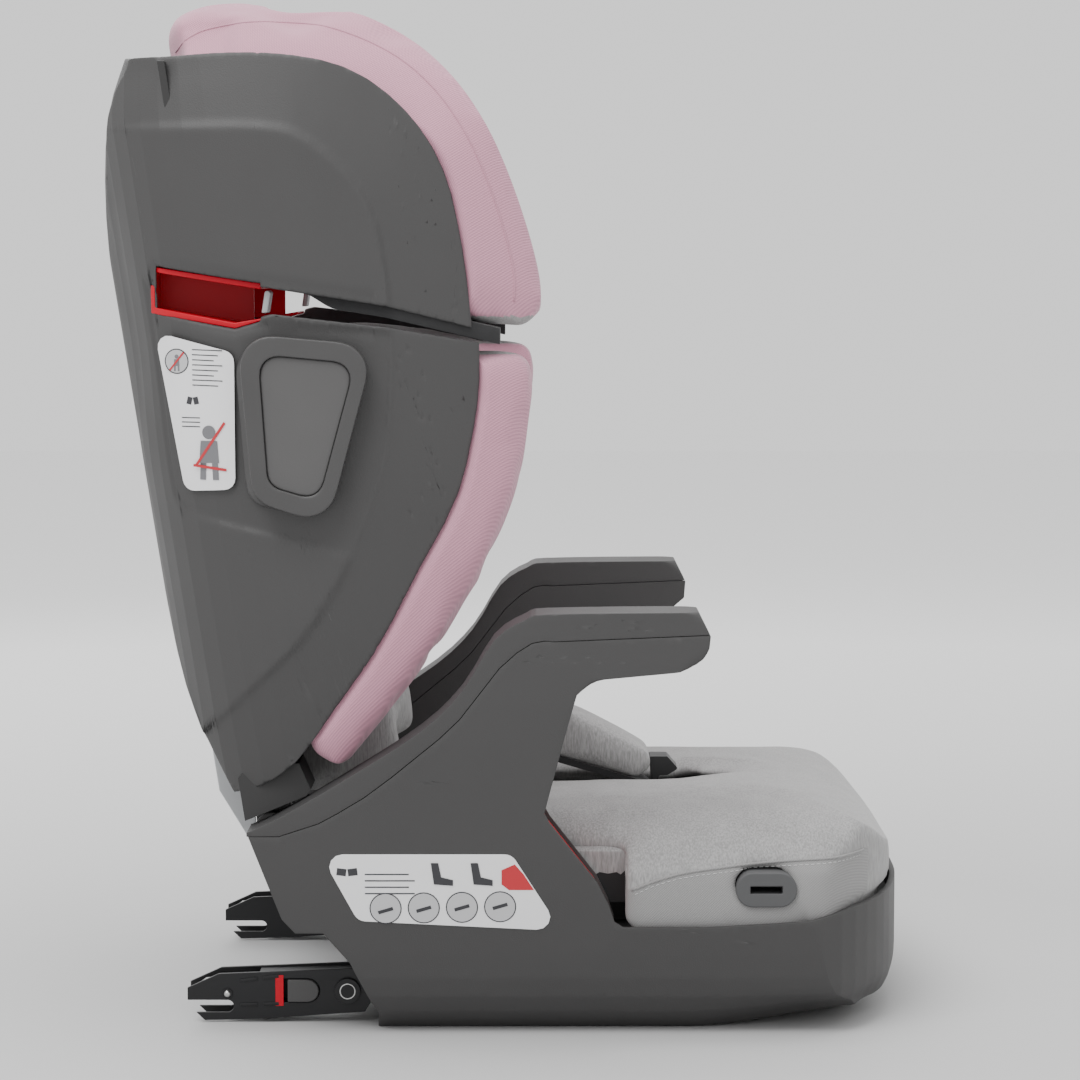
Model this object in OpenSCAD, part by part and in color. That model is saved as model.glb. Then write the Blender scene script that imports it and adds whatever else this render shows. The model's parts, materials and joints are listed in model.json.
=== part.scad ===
// High-back belt-positioning booster seat with swinging anchor connectors.
// Z is up, the child faces -Y, and the origin is the centre of the face the base rests on.
// Side outlines are written [forward, up], so forward is -Y.

/* [Base] */
// Half width of the base at the floor
floor_half_w = 165; // [150:1:175]
// Half width of the base at its rim
rim_half_w = 200; // [190:1:210]
// Half width over the armrests
arm_half_w = 218; // [214:1:230]
// Width of one armrest
arm_w = 46; // [36:1:52]
// Height of the armrest's top
arm_top = 294; // [270:1:320]
// Length of the base's floor contact behind the origin
base_back = 151; // [140:1:165]
// Reach of the base in front of the origin, at its widest level
base_front = 221; // [200:1:245]
// Height of the base's rim at the middle of its side
rim_z = 76; // [68:1:86]
// Wall of the moulded base
base_wall = 4; // [3:0.5:5]
// Thickness of the grip feet
foot_t = 2; // [1:0.5:3]

/* [Cushion] */
// Height of the cushion's crown
seat_top = 157; // [145:1:175]
// Height of the seat deck under the foam
deck_top = 112; // [104:1:118]

/* [Backrest] */
// Lean of the backrest at rest, in degrees
lean = 9; // [5:0.5:14]
// Width of the backrest's spine
spine_w = 150; // [120:1:170]
// Length of the spine above the recline hinge
spine_len = 430; // [400:1:450]
// Depth of the spine, front to rear
spine_d = 34; // [26:1:38]
// Depth of the back padding in front of the spine
pad_d = 62; // [50:1:72]
// Radius of the steel recline rod
rod_r = 5; // [4:0.5:6]
// Radial play of the recline rod in the backrest
rod_play = 0.05; // [0.02:0.01:0.1]
// How far the head and wing unit lifts
lift = 150; // [100:10:150]

/* [Wings] */
// Half width over the wings
wing_half_w = 212; // [205:1:216]
// Wall of the wing shell
wing_wall = 4; // [3:0.5:5]
// Half width of the space for the head
head_half_w = 122; // [105:1:130]
// Half width of the space for the shoulders
torso_half_w = 150; // [135:1:158]
// How far the impact pod stands out of the wing
pod_out = 14; // [8:1:20]

/* [Anchor connectors] */
// Spacing of the two connectors, centre to centre
anchor_pitch = 280; // [276:1:284]
// Width of one connector
arm_t = 24; // [20:1:28]
// Radius of the hook slot's round end
hook_r = 4.3; // [3.5:0.1:5]
// Radius of the cross shaft that the connectors swing on
shaft_r = 6; // [5:0.5:7]
// Radial play of a connector on the cross shaft
shaft_play = 0.05; // [0.02:0.01:0.1]
// Travel of the connectors into the base
slide_in = 60; // [30:5:60]
// Travel of the connectors out of the base
slide_out = 30; // [10:5:40]

/* [Hidden] */
$fn = 48;
eps = 0.01;

// Recline hinge and the plane that the backrest's padding stands on, as [forward, up]
hinge = [-228, 128];
back_foot = [-215, 130];
// Connector pivot at rest, as [forward, up]
pivot = [-173, 22];
// Lap strap's pivot in the seat, as [forward, up]
strap_pivot = [50, 118];
strap_half_w = 27;

liner_in = arm_half_w - arm_w;
deck_half_w = liner_in - 6;
hook_len = 86;

// ---- curves ----

function lerp(a, b, t) = a + (b - a) * t;
function reversed(p) = [for (i = [len(p) - 1:-1:0]) p[i]];

// One point of the smooth curve through p1 and p2, with p0 and p3 beyond them
function blend(p0, p1, p2, p3, t) =
  0.5 * (2 * p1 + (p2 - p0) * t + (2 * p0 - 5 * p1 + 4 * p2 - p3) * t * t
    + (3 * p1 - p0 - 3 * p2 + p3) * t * t * t);

// Smooth open curve through a few points, with n steps between each two
function curve(p, n = 3) = [
  for (i = [0:len(p) - 2])
    for (k = [0:n - 1])
      blend(p[max(i - 1, 0)], p[i], p[i + 1], p[min(i + 2, len(p) - 1)], k / n),
  p[len(p) - 1]];

function unit2(v) = v / norm(v);
function side_of(p, i) =
  let(d = unit2(p[min(i + 1, len(p) - 1)] - p[max(i - 1, 0)])) [-d.y, d.x];

// Open curve moved to its left by d
function shifted(p, d) = [for (i = [0:len(p) - 1]) p[i] + d * side_of(p, i)];

// Arc points about c
function arc(c, r, a0, a1, n = 6) = [for (i = [0:n]) c + r * [cos(lerp(a0, a1, i / n)), sin(lerp(a0, a1, i / n))]];

// Closed outline with each corner rounded to radius r
function rounded(p, r, n = 4) = [
  for (i = [0:len(p) - 1])
    let(a = p[(i + len(p) - 1) % len(p)], b = p[i], c = p[(i + 1) % len(p)],
      u = unit2(a - b), v = unit2(c - b),
      half = acos(max(-1, min(1, u * v))) / 2,
      cut = min(r / tan(half), 0.49 * min(norm(a - b), norm(c - b))),
      rr = cut * tan(half), o = b + unit2(u + v) * rr / sin(half),
      s = b + u * cut - o, e = b + v * cut - o,
      a0 = atan2(s.y, s.x), da = atan2(e.y, e.x) - a0,
      turn = da > 180 ? da - 360 : da < -180 ? da + 360 : da)
      for (k = [0:n]) o + rr * [cos(a0 + turn * k / n), sin(a0 + turn * k / n)]];

// ---- placing ----

// Side outline [forward, up], extruded from x0 to x1
module side_slab(x0, x1) {
  translate([x0, 0, 0])
    mirror([0, 1, 0])
      rotate([90, 0, 90])
        linear_extrude(x1 - x0) children();
}

// Front outline [x, up], extruded from y0 to y1
module front_slab(y0, y1) {
  translate([0, y1, 0])
    rotate([90, 0, 0])
      linear_extrude(y1 - y0) children();
}

// The backrest's own axes: X across, -Y forward of the padding's back plane, Z along the lean
module back_axes() {
  translate([0, -back_foot.x, back_foot.y])
    rotate([-lean, 0, 0]) children();
}

// Plan outline [x, forward] of the backrest, extruded along the lean from v0 to v1
module lean_slab(v0, v1) {
  back_axes()
    translate([0, 0, v0])
      mirror([0, 1, 0])
        linear_extrude(v1 - v0) children();
}

module on_side(side) {
  if (side > 0) children();
  else mirror([1, 0, 0]) children();
}

module both_sides() {
  children();
  mirror([1, 0, 0]) children();
}

// Rod along X, centred on the side point [forward, up]
module cross_rod(at, r, x0, x1) {
  translate([x0, -at.x, at.y])
    rotate([0, 90, 0]) cylinder(r = r, h = x1 - x0);
}

// ---- base ----

// Half width of the base's outer face at a few heights, as [x, up]
base_side_curve = curve([[floor_half_w, 0], [lerp(floor_half_w, rim_half_w, 0.72), 26],
  [rim_half_w, rim_z], [rim_half_w + 9, 150], [arm_half_w - 2, 230], [arm_half_w, arm_top + 10]], 3);

function band_front(p, q) = concat(p, reversed(q));
function both_halves(p) = concat(p, [for (i = [len(p) - 1:-1:0]) [-p[i].x, p[i].y]]);

// Top line of the base from the rear, over the armrest and its tip, to the belt opening
arm_line = curve([[-238, 143], [-218, 152], [-172, 179], [-121, 212], [-92, 240],
  [-70, 275], [-49, arm_top - 5], [-30, arm_top - 1], [68, arm_top]], 3);
arm_tip = [[76, arm_top - 16], [75, arm_top - 29], [62, arm_top - 40]];
opening_line = concat([[-2, arm_top - 46]], curve([[-14, arm_top - 56], [-20, 217], [-29, 183], [-36, 156]], 2),
  [[-32, 149], [0, 108], [8, 92], [12, 80]]);
rim_line = [[18, rim_z], [78, rim_z], [base_front - 77, rim_z + 4], [base_front - 45, rim_z + 10],
  [base_front, rim_z + 12]];
nose_line = curve([[base_front, rim_z - 14], [base_front - 6, 26], [base_front - 19, 8], [base_front - 40, 0]], 3);
heel_line = [[-base_back, 0], [-150, 12], [-169, 51], [-187, 72], [-206, 72], [-215, 82]];

// Parting line between the base shell and the armrest cap
seam_line = concat([[-216, 140]], curve([[-189, 149], [-158, 167], [-121, 196], [-93, 221], [-66, 256],
  [-44, arm_top - 21], [-30, arm_top - 20]], 2), [[90, arm_top - 15]]);

base_outline = concat(arm_line, arm_tip, opening_line, rim_line, nose_line, heel_line);

function plan_inset(d) = concat([[arm_half_w + 4, -base_back - 120], [arm_half_w + 4, 60]],
  curve([[arm_half_w - 2 - d, base_front - 111], [rim_half_w - 12 - d, base_front - 53 - d],
    [130 - d / 2, base_front - 18 - d], [60, base_front - 3 - d],
    [0, base_front - d]], 4));

module plan_slab(p, z0, z1) {
  translate([0, 0, z0])
    mirror([0, 1, 0])
      linear_extrude(z1 - z0) polygon(both_halves(p));
}

// Everything inside the base's outer face, moved in by d
module base_body(d, z0, z1) {
  intersection() {
    front_slab(-base_front - 10, base_back + 120)
      polygon(both_halves([for (q = shifted(base_side_curve, d)) [q.x, q.y]]));
    plan_slab(plan_inset(d), z0, z1);
  }
}

// Room under the base for one connector and its slide
chan_in = anchor_pitch / 2 - arm_t / 2 - 4;
chan_out = anchor_pitch / 2 + arm_t / 2 + 4;
chan_h = 48;
chan_front = pivot.x + slide_in + hook_len + 34;

module latch_channels(grow) {
  both_sides()
    translate([chan_in - grow, -chan_front - grow, -1])
      cube([chan_out - chan_in + 2 * grow, chan_front + base_back + 60 + grow, chan_h + 1 + grow]);
  translate([-chan_in, -pivot.x - slide_in - 12 - grow, -1])
    cube([2 * chan_in, slide_in + slide_out + 30 + grow, pivot.y + 13 + grow]);
}

floor_t = base_wall + 1;
cavity_outline = [[-232, 400], [-212, 92], [-203, 79], [-184, 78], [-164, 54], [-147, floor_t],
  [base_front - 38, floor_t], [base_front - 21, 14], [base_front - 10, 28], [base_front - base_wall, rim_z - 14],
  [base_front - base_wall, 400]];

module base_shell() {
  color("#4d4e50")
    difference() {
      intersection() {
        base_body(0, 0, arm_top + 6);
        side_slab(-arm_half_w - 1, arm_half_w + 1) polygon(base_outline);
      }
      difference() {
        intersection() {
          base_body(base_wall, 0, arm_top + 20);
          side_slab(-arm_half_w - 2, arm_half_w + 2) polygon(cavity_outline);
        }
        latch_channels(3);
      }
      latch_channels(0);
      grip_pads(0.3);
      screw_sites() {
        cylinder(r = 2.1, h = 3 * floor_t, center = true);
        translate([0, 0, -1]) cylinder(r = 4.2, h = 3.2);
      }
      // everything above the parting line belongs to the caps
      side_slab(-arm_half_w - 2, arm_half_w + 2)
        polygon(concat(seam_line, [[90, 400], [-260, 400], [-260, 140]]));
      // open rear for the backrest's foot
      translate([-liner_in - 14, -(-206), 96])
        cube([2 * (liner_in + 14), 60, 80]);
    }
}

// Seat deck: closes the base's top and carries the foam
module base_deck() {
  color("#3f4042")
    difference() {
      union() {
        intersection() {
          base_body(base_wall + 0.2, rim_z - 8, rim_z - 4);
          side_slab(-arm_half_w, arm_half_w) polygon([[-170, 0], [base_front, 0], [base_front, 200], [-170, 200]]);
        }
        translate([-deck_half_w + 16, -170, rim_z - 5])
          cube([2 * deck_half_w - 32, 340, deck_top - rim_z + 5]);
      }
      translate([-deck_half_w + 20, -166, rim_z - 9])
        cube([2 * deck_half_w - 40, 332, deck_top - rim_z + 5]);
      // strap well
      translate([-strap_half_w - 6, -strap_pivot.x - 22, rim_z - 10])
        cube([2 * strap_half_w + 12, 50, 80]);
    }
}

// Inner wall of an armrest
module armrest_liner(side) {
  color("#46474a")
    on_side(side)
      difference() {
        side_slab(liner_in, liner_in + 3)
          polygon(concat([for (q = arm_line) if (q.x > -206) q], arm_tip, opening_line, [[12, rim_z], [-170, rim_z]]));
        side_slab(liner_in - 1, liner_in + 4)
          polygon(concat(seam_line, [[90, 400], [-260, 400], [-260, 140]]));
      }
}

// Saddle over the armrest, above the parting line
module armrest_cap(side) {
  wall = 3.2;
  color("#4d4e50")
    on_side(side)
      intersection() {
        difference() {
          intersection() {
            base_body(0, 100, arm_top + 6);
            side_slab(liner_in, arm_half_w + 1) polygon(concat(arm_line, arm_tip, [[62, 200], [-238, 120]]));
            side_slab(liner_in - 1, arm_half_w + 1)
              polygon(concat(shifted(seam_line, 0.4), [[90, 400], [-260, 400], [-260, 140]]));
          }
          intersection() {
            base_body(wall, 90, arm_top + 20);
            side_slab(liner_in + wall, arm_half_w + 2)
              polygon(concat(shifted(arm_line, -wall), [[72, arm_top - 16], [60, 150], [-238, 100]]));
          }
        }
        translate([0, -300, 0]) cube([300, 600, 400]);
      }
}

// Smooth liner that the lap belt runs over, round the rear and foot of the belt opening
guide_line = [[-29, 190], [-38, 158], [-35, 149], [-2, 107], [6, 91], [9, rim_z + 2]];
module lap_belt_guide(side) {
  color("#c8324b")
    on_side(side)
      side_slab(liner_in + 3.2, rim_half_w - base_wall - 0.6)
        polygon(concat(guide_line, reversed(shifted(guide_line, -3))));
}

module screw_sites() {
  for (x = [-90, 90], y = [-150, -70, 30])
    translate([x, y, 0]) children();
}

module base_screws() {
  color("silver")
    screw_sites() {
      translate([0, 0, 0.2]) cylinder(r = 4, h = 1.9);
      cylinder(r = 2, h = 16);
    }
}

// Grip pads, let into the floor so that they lie flush with it
module grip_pads(gap) {
  for (x = [-58, 58], y = [-115, -25])
    translate([x - 25 - gap, y - 16 - gap, -gap / 2]) cube([50 + 2 * gap, 32 + 2 * gap, foot_t + gap / 2]);
  translate([-35 - gap, 75 - gap, -gap / 2]) cube([70 + 2 * gap, 22 + 2 * gap, foot_t + gap / 2]);
}

module grip_feet() {
  color("#222222") grip_pads(0);
}

// Lugs on the base that hold the recline rod
lug_in = 100;
lug_w = 12;
module recline_brackets() {
  color("#38393b")
    both_sides()
      difference() {
        union() {
          cross_rod(hinge, 13, lug_in, lug_in + lug_w);
          side_slab(lug_in, lug_in + lug_w)
            polygon([[-238, 121], [-216, 118], [-190, 94], [-190, 80], [-201, 81], [-209, 94], [-228, 113]]);
        }
        cross_rod(hinge, rod_r, lug_in - 1, lug_in + lug_w + 1);
      }
}

module recline_rod() {
  color("silver")
    cross_rod(hinge, rod_r, -lug_in - lug_w - 3, lug_in + lug_w + 3);
}

module strap_anchor() {
  color("#303133")
    difference() {
      side_slab(-strap_half_w - 5, strap_half_w + 5)
        polygon([[strap_pivot.x - 20, rim_z - 4], [strap_pivot.x + 20, rim_z - 4], [strap_pivot.x + 10, strap_pivot.y + 8],
          [strap_pivot.x - 10, strap_pivot.y + 8]]);
      translate([-strap_half_w - 1, -strap_pivot.x - 30, rim_z])
        cube([2 * strap_half_w + 2, 60, 100]);
      cross_rod(strap_pivot, 3, -60, 60);
    }
}

label_outline = rounded([[-188, 128], [-58, 128], [-24, 74], [-163, 81]], 9);
// Pictogram labels on the base's sides
module base_labels() {
  color("white")
    both_sides()
      intersection() {
        side_slab(180, 240) polygon(label_outline);
        front_slab(-100, 260)
          polygon(band_front(shifted(base_side_curve, -0.05), shifted(base_side_curve, -0.5)));
      }
}

// Cover over the base's lower rear, between the connectors' channels
module rear_base_cover() {
  color("#9a9c9e")
    side_slab(-chan_in + 6, chan_in - 6)
      polygon([[-233.5, 104], [-220, 81.5], [-216.4, 82], [-230, 104]]);
  color("#9a9c9e")
    side_slab(-chan_in + 6, chan_in - 6)
      polygon([[-220, 81.5], [-208, 70], [-190, 68], [-176, 50], [-171.8, 50], [-187.8, 71.2], [-206.8, 71.4], [-216.4, 82]]);
}

// ---- seat ----

cushion_half_w = rim_half_w - 8;
cushion_top = curve([[-168, seat_top - 7], [-60, seat_top - 8], [38, seat_top - 5], [104, seat_top + 1],
  [base_front - 54, seat_top - 8], [base_front - 21, 128], [base_front - 4, 104], [base_front - 1, rim_z + 13]], 4);
cushion_side = curve([[cushion_half_w - 1, rim_z - 3], [cushion_half_w + 2, 96], [cushion_half_w - 4, 116],
  [165, 138], [120, 150], [50, seat_top], [0, seat_top + 2]], 3);
cushion_hem = [[base_front - 1, rim_z + 12.5], [base_front - 45, rim_z + 10.5], [base_front - 77, rim_z + 4.5],
  [78, rim_z + 0.5], [-168, rim_z + 0.5]];

module strap_recess(grow) {
  side_slab(-strap_half_w - 5 - grow, strap_half_w + 5 + grow)
    polygon([[strap_pivot.x - 100, 200], [strap_pivot.x - 88, 142], [strap_pivot.x - 21, strap_pivot.y - 22],
      [strap_pivot.x + 21, strap_pivot.y - 22], [strap_pivot.x + 34, 200]]);
  // room in front for the clip when the strap is laid forward
  side_slab(-14 - grow, 14 + grow)
    polygon([[strap_pivot.x, 200], [strap_pivot.x, 128], [strap_pivot.x + 50, 132], [strap_pivot.x + 50, 200]]);
}

module seat_block(d) {
  difference() {
    intersection() {
      side_slab(-cushion_half_w - 5, cushion_half_w + 5)
        polygon(concat(shifted(cushion_top, -d), cushion_hem));
      front_slab(-base_front, 170)
        polygon(both_halves(shifted(cushion_side, d)));
      union() {
        plan_slab(plan_inset(base_wall / 2 + d), rim_z - 10, seat_top + 10);
      }
    }
    // narrow rear between the armrests
    both_sides()
      translate([liner_in - 2, -20, 0]) cube([60, 400, 300]);
    strap_recess(0);
  }
}

module seat_foam() {
  color("#e6e6e2")
    difference() {
      seat_block(9);
      translate([-deck_half_w + 16, -170, 0])
        cube([2 * deck_half_w - 32, 340, deck_top]);
      both_sides() grommet_body(0);
      translate([-300, -300, 0]) cube([600, 600, rim_z + 12]);
    }
}

module seat_cushion() {
  color("#b9babb")
    difference() {
      seat_block(0);
      difference() {
        seat_block(9);
        translate([-300, -300, 0]) cube([600, 600, rim_z + 12]);
      }
      translate([-deck_half_w + 16, -170, 0])
        cube([2 * deck_half_w - 32, 340, deck_top]);
      intersection() {
        translate([-300, -300, 0]) cube([600, 600, rim_z + 12.01]);
        seat_block(9);
      }
      both_sides() grommet_body(0);
    }
}

cup_at = [116, 101];
module grommet_body(cut) {
  translate([cushion_half_w - 24, -cup_at.x, cup_at.y])
    rotate([0, 90, 0])
      linear_extrude(28) square([20 - cut, 35 - cut], center = true);
}

// Rubber-edged slot in the seat's side that a cup holder's tongue slides into
module cup_grommet(side) {
  color("#5a5b5d")
    on_side(side)
      difference() {
        side_slab(cushion_half_w - 22, cushion_half_w + 3)
          translate(cup_at)
            polygon(rounded([[-17.4, -9.9], [17.4, -9.9], [17.4, 9.9], [-17.4, 9.9]], 9.8, 6));
        side_slab(cushion_half_w - 20, cushion_half_w + 5)
          translate(cup_at) square([22, 5], center = true);
      }
}

// ---- backrest, fixed part ----

spine_back = -12 - spine_d;
module back_frame() {
  color("#3c3d3f")
    difference() {
      union() {
        // box-section spine
        lean_slab(34, spine_len)
          polygon([[-spine_w / 2, spine_back], [spine_w / 2, spine_back], [spine_w / 2, -12], [-spine_w / 2, -12]]);
        // cross member above the base's rear
        intersection() {
          side_slab(-190, 190)
            polygon([[-241, 147], [-246, 176], [-238, 186], [-204, 186], [-196, 168], [-199, 164]]);
          front_slab(100, 300) polygon([[-190, 100], [190, 100], [178, 190], [-178, 190]]);
        }
        // feet down to the recline rod
        both_sides() {
          cross_rod(hinge, 12, lug_in - 22, lug_in - 0.5);
          side_slab(lug_in - 22, lug_in - 0.5)
            polygon([[hinge.x - 12, hinge.y], [hinge.x + 11, hinge.y], [hinge.x + 9, 168], [hinge.x - 14, 168]]);
        }
      }
      // hollow spine
      lean_slab(52, spine_len + 1)
        polygon([[-spine_w / 2 + 5, spine_back + 5], [spine_w / 2 - 5, spine_back + 5],
          [spine_w / 2 - 5, -17], [-spine_w / 2 + 5, -17]]);
      cross_rod(hinge, rod_r + rod_play, -200, 200);
      // seat of the lower pad
      lean_slab(-20, 60)
        polygon([[-137, 2.5], [137, 2.5], [137, 60], [-137, 60]]);
    }
}

// Pale panel over the spine's lower rear
module back_rear_panel() {
  half = spine_w / 2;
  color("#a9abad")
    intersection() {
      side_slab(-half - 3, half + 3)
        polygon([[-249, 118], [-272, 156], [-284, 198], [-284, 240], [-240, 240], [-250, 186], [-244, 146], [-242, 120]]);
      difference() {
        lean_slab(-40, 60)
          polygon([[-half - 2.4, spine_back - 4], [half + 2.4, spine_back - 4], [half + 2.4, -12], [-half - 2.4, -12]]);
        lean_slab(-41, 61)
          polygon([[-half - 0.3, spine_back - 0.5], [half + 0.3, spine_back - 0.5], [half + 0.3, 0], [-half - 0.3, 0]]);
      }
    }
}

rack_pitch = 15;
rack_count = floor(lift / rack_pitch + 0.01) + 1;
rack_v0 = 300;
module height_rack() {
  color("silver")
    difference() {
      lean_slab(rack_v0 - rack_count * rack_pitch, rack_v0 + 14)
        polygon([[-9, spine_back - 3], [9, spine_back - 3], [9, spine_back], [-9, spine_back]]);
      back_axes()
        for (i = [0:rack_count - 1])
          translate([0, -spine_back - 5, rack_v0 - i * rack_pitch])
            rotate([-90, 0, 0]) cylinder(r = 4.2, h = 12);
    }
}

module lower_back_pad() {
  color("#b9babb")
    lean_slab(27, 96)
      polygon(concat(curve([[0, pad_d + 8], [70, pad_d + 10], [118, pad_d + 24], [134, pad_d - 6], [132, 20]], 3),
        [[132, 3], [-132, 3]],
        reversed([for (q = curve([[0, pad_d + 8], [70, pad_d + 10], [118, pad_d + 24], [134, pad_d - 6], [132, 20]], 3))
          if (q.x > 1) [-q.x, q.y]])));
}

// Fabric-covered board in front of the spine, bared when the wings are raised
module back_board() {
  color("#a7a8a9")
    lean_slab(61, spine_len - 180)
      polygon(rounded([[-spine_w / 2 - 10, -11.9], [spine_w / 2 + 10, -11.9], [spine_w / 2 + 10, 2.4],
        [-spine_w / 2 - 10, 2.4]], 3, 3));
}

// ---- head and wing unit ----

wing_rear = -62;
wing_plan = curve([[0, wing_rear], [92, wing_rear], [150, -50], [190, -20], [wing_half_w - 4, 30],
  [wing_half_w, 90], [wing_half_w - 4, 150], [wing_half_w - 16, 215], [wing_half_w - 40, 270]], 3);
function wing_plan_in(d) = shifted(wing_plan, d);

// Rear edge, roof line and front edges of the wing shell, as [forward, up]
shell_rear = curve([[-250, 164], [-285, 235], [-307, 319], [-320, 386], [-332, 458], [-342, 560], [-340, 628],
  [-328, 670]], 3);
shell_crown = curve([[-303, 670], [-228, 669], [-170, 659], [-130, 631], [-104, 591], [-91, 537], [-85, 486]], 3);
shell_front = curve([[-80, 474], [-81, 434], [-94, 373], [-122, 319], [-149, 268], [-176, 229], [-205, 189],
  [-228, 172]], 3);
slot_low = [[-244, 487], [-231, 491], [-219, 494], [-140, 485], [-60, 471]];
slot_high = [[-60, 478], [-142, 499], [-219, 511], [-231, 512.5]];
slot_rear = [[-298, 524], [-304, 509], [-299, 497]];
slot_outline = concat(slot_low, slot_high, slot_rear);
unit_outline = concat(shell_rear, shell_crown, shell_front);
// Outline of the red belt guide, and the room that its neighbours leave round it
guide_outer = [[-303, 526], [-303, 494], [-244, 484], [-226, 489], [-226, 514.5]];
guide_room = [[-306, 530], [-306, 490], [-244, 481], [-222, 486], [-222, 518]];

// Everything inside the unit's plan, moved in by d
module wing_core(d) {
  lean_slab(-90, 640)
    polygon(concat([for (q = reversed(wing_plan_in(d))) [max(q.x, 0), q.y]],
      [for (q = wing_plan_in(d)) [-max(q.x, 0), q.y]]));
}

// A skin over the plan's outside, from d0 to d1 inwards
module wing_band(d0, d1) {
  lean_slab(-90, 640)
    polygon(concat(wing_plan_in(d0), reversed(wing_plan_in(d1))));
}

// The one-piece wall of the wings: sides, curved rear and a roof behind the padding
roof_front = 8;
module wing_wall_solid() {
  difference() {
    intersection() {
      wing_core(0);
      side_slab(-wing_half_w - 5, wing_half_w + 5) polygon(unit_outline);
    }
    intersection() {
      wing_core(wing_wall);
      union() {
        side_slab(-wing_half_w - 5, wing_half_w + 5)
          polygon(concat([[-238, 100]], shifted(shell_rear, -wing_wall),
            [[-324, 670 - wing_wall], [-303, 670 - wing_wall], [-200, 664], [-60, 600], [0, 100]]));
        lean_slab(-90, 700)
          polygon([[-300, roof_front], [300, roof_front], [300, 400], [-300, 400]]);
      }
    }
    both_sides() side_slab(100, 260) polygon(slot_outline);
    both_sides() side_slab(100, 260) polygon(guide_outer);
  }
}

cover_half_w = 78;
cover_low = 282;
module wing_shell(side) {
  color("#4f5052")
    on_side(side)
      intersection() {
        wing_wall_solid();
        translate([cover_half_w + 0.1, -400, 0]) cube([400, 800, 900]);
      }
}

// Centre cover that joins the two wing shells at the rear
module wing_rear_cover() {
  color("#4a4b4d")
    difference() {
      intersection() {
        wing_wall_solid();
        translate([-cover_half_w, -400, cover_low]) cube([2 * cover_half_w, 800, 900]);
      }
      back_axes() translate([0, -spine_back + 2, rack_v0]) rotate([-90, 0, 0]) cylinder(r = 4.4, h = 30);
      // window of the squeeze handle
      back_axes() translate([-handle_w / 2 - 1, 30, handle_v - 1]) cube([handle_w + 2, 60, handle_h + handle_lift + 2]);
    }
}

module carriage_plate() {
  color("#39393b")
    intersection() {
      lean_slab(100, 556) polygon([[-195, 4], [195, 4], [195, 9], [-195, 9]]);
      wing_core(wing_wall);
      side_slab(-300, 300)
        polygon(concat([[-238, 100]], shifted(shell_rear, -wing_wall - 0.5), [[-320, 664], [-200, 660], [0, 100]]));
      // clear of the shoulder belt's path
      difference() {
        translate([-300, -500, 0]) cube([600, 1000, 900]);
        both_sides() side_slab(128, 260) polygon(shifted_slot(1.5));
        both_sides() side_slab(128, 260) polygon(guide_room);
      }
    }
}

// Runners that keep the unit on the spine, fore and aft and sideways
module slide_runners() {
  color("#222325")
    both_sides()
      lean_slab(270, 430)
        polygon([[spine_w / 2 + 0.4, -50], [spine_w / 2 + 16, -50], [spine_w / 2 + 16, 3.9],
          [spine_w / 2 + 11, 3.9], [spine_w / 2 + 11, -10], [spine_w / 2 + 0.4, -10]]);
}

head_line = curve([[-311, 676], [-302, 690], [-272, 705], [-237, 710], [-188, 707], [-139, 688], [-103, 660],
  [-75, 621], [-54, 572], [-41, 522], [-41, 494], [-50, 484]], 3);
module headrest_pad() {
  color("#c995a5")
    difference() {
      intersection() {
        side_slab(-205, 205)
          polygon(concat(head_line, [[-60, 484], [-142, 505], [-219, 518], [-262, 530], [-330, 548], [-330, 676]]));
        wing_core(wing_wall + 0.3);
        front_slab(-100, 400)
          polygon(both_halves(curve([[wing_half_w, 440], [wing_half_w - 4, 560], [186, 640], [150, 690], [90, 708],
            [0, 711]], 3)));
        lean_slab(330, 640) polygon([[-230, 9.2], [230, 9.2], [230, 300], [-230, 300]]);
      }
      lean_slab(300, 700)
        polygon(concat([[-head_half_w + 4, 290], [-head_half_w, 130]], arc([-head_half_w + 34, pad_d + 44], 34, 180, 270),
          arc([head_half_w - 34, pad_d + 44], 34, 270, 360), [[head_half_w, 130], [head_half_w - 4, 290]]));
      both_sides() side_slab(90, 260) polygon(shifted_slot(1.5));
      both_sides() side_slab(90, 260) polygon(guide_room);
    }
}

function shifted_slot(d) = [for (q = concat(slot_low, slot_high, slot_rear))
  q + d * (q.y > 520 ? [-1, 1] : q.y > 495 && q.x > -225 ? [0, 1] : q.x < -290 ? [-1, -0.3] : [0, -1])];

torso_line = reversed(curve([[-175, 181], [-140, 225], [-109, 266], [-75, 322], [-54, 377], [-45, 426], [-43, 464]], 3));
module torso_pad(side) {
  color("#c995a5")
    on_side(side)
      intersection() {
        side_slab(torso_half_w - 12, 206)
          polygon(concat(torso_line, [[-196, 192], [-214, 200], [-260, 470], [-215, 482], [-140, 478]]));
        wing_core(wing_wall + 0.3);
        lean_slab(30, 460)
          polygon([[torso_half_w - 8, 30], [torso_half_w - 4, 150], [torso_half_w, 240], [230, 240], [230, 30]]);
      }
}

module centre_pad() {
  color("#b9babb")
    lean_slab(102, 326)
      polygon(concat([[-136, 9.2]], [[-136, pad_d + 10], [-100, pad_d + 14], [0, pad_d + 6], [100, pad_d + 14],
        [136, pad_d + 10], [136, 9.2]]));
}

// Mesh under the headrest wings, over the belt slot
module headrest_mesh() {
  color("#2b2b2c")
    both_sides()
      intersection() {
        side_slab(torso_half_w + 6, 205)
          polygon([[-200, 512], [-142, 502.5], [-66, 484], [-66, 481], [-142, 499.5], [-200, 509]]);
        wing_core(wing_wall + 0.5);
      }
}

module belt_guide(side) {
  color("#a3141f")
    on_side(side)
      intersection() {
        difference() {
          side_slab(136, 208) polygon(guide_outer);
          side_slab(134, 212) polygon([[-300, 522], [-300, 498], [-244, 488], [-220, 492], [-220, 509.5]]);
        }
        wing_core(0);
      }
}

gate_pivot = [-222, 507.5];
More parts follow.
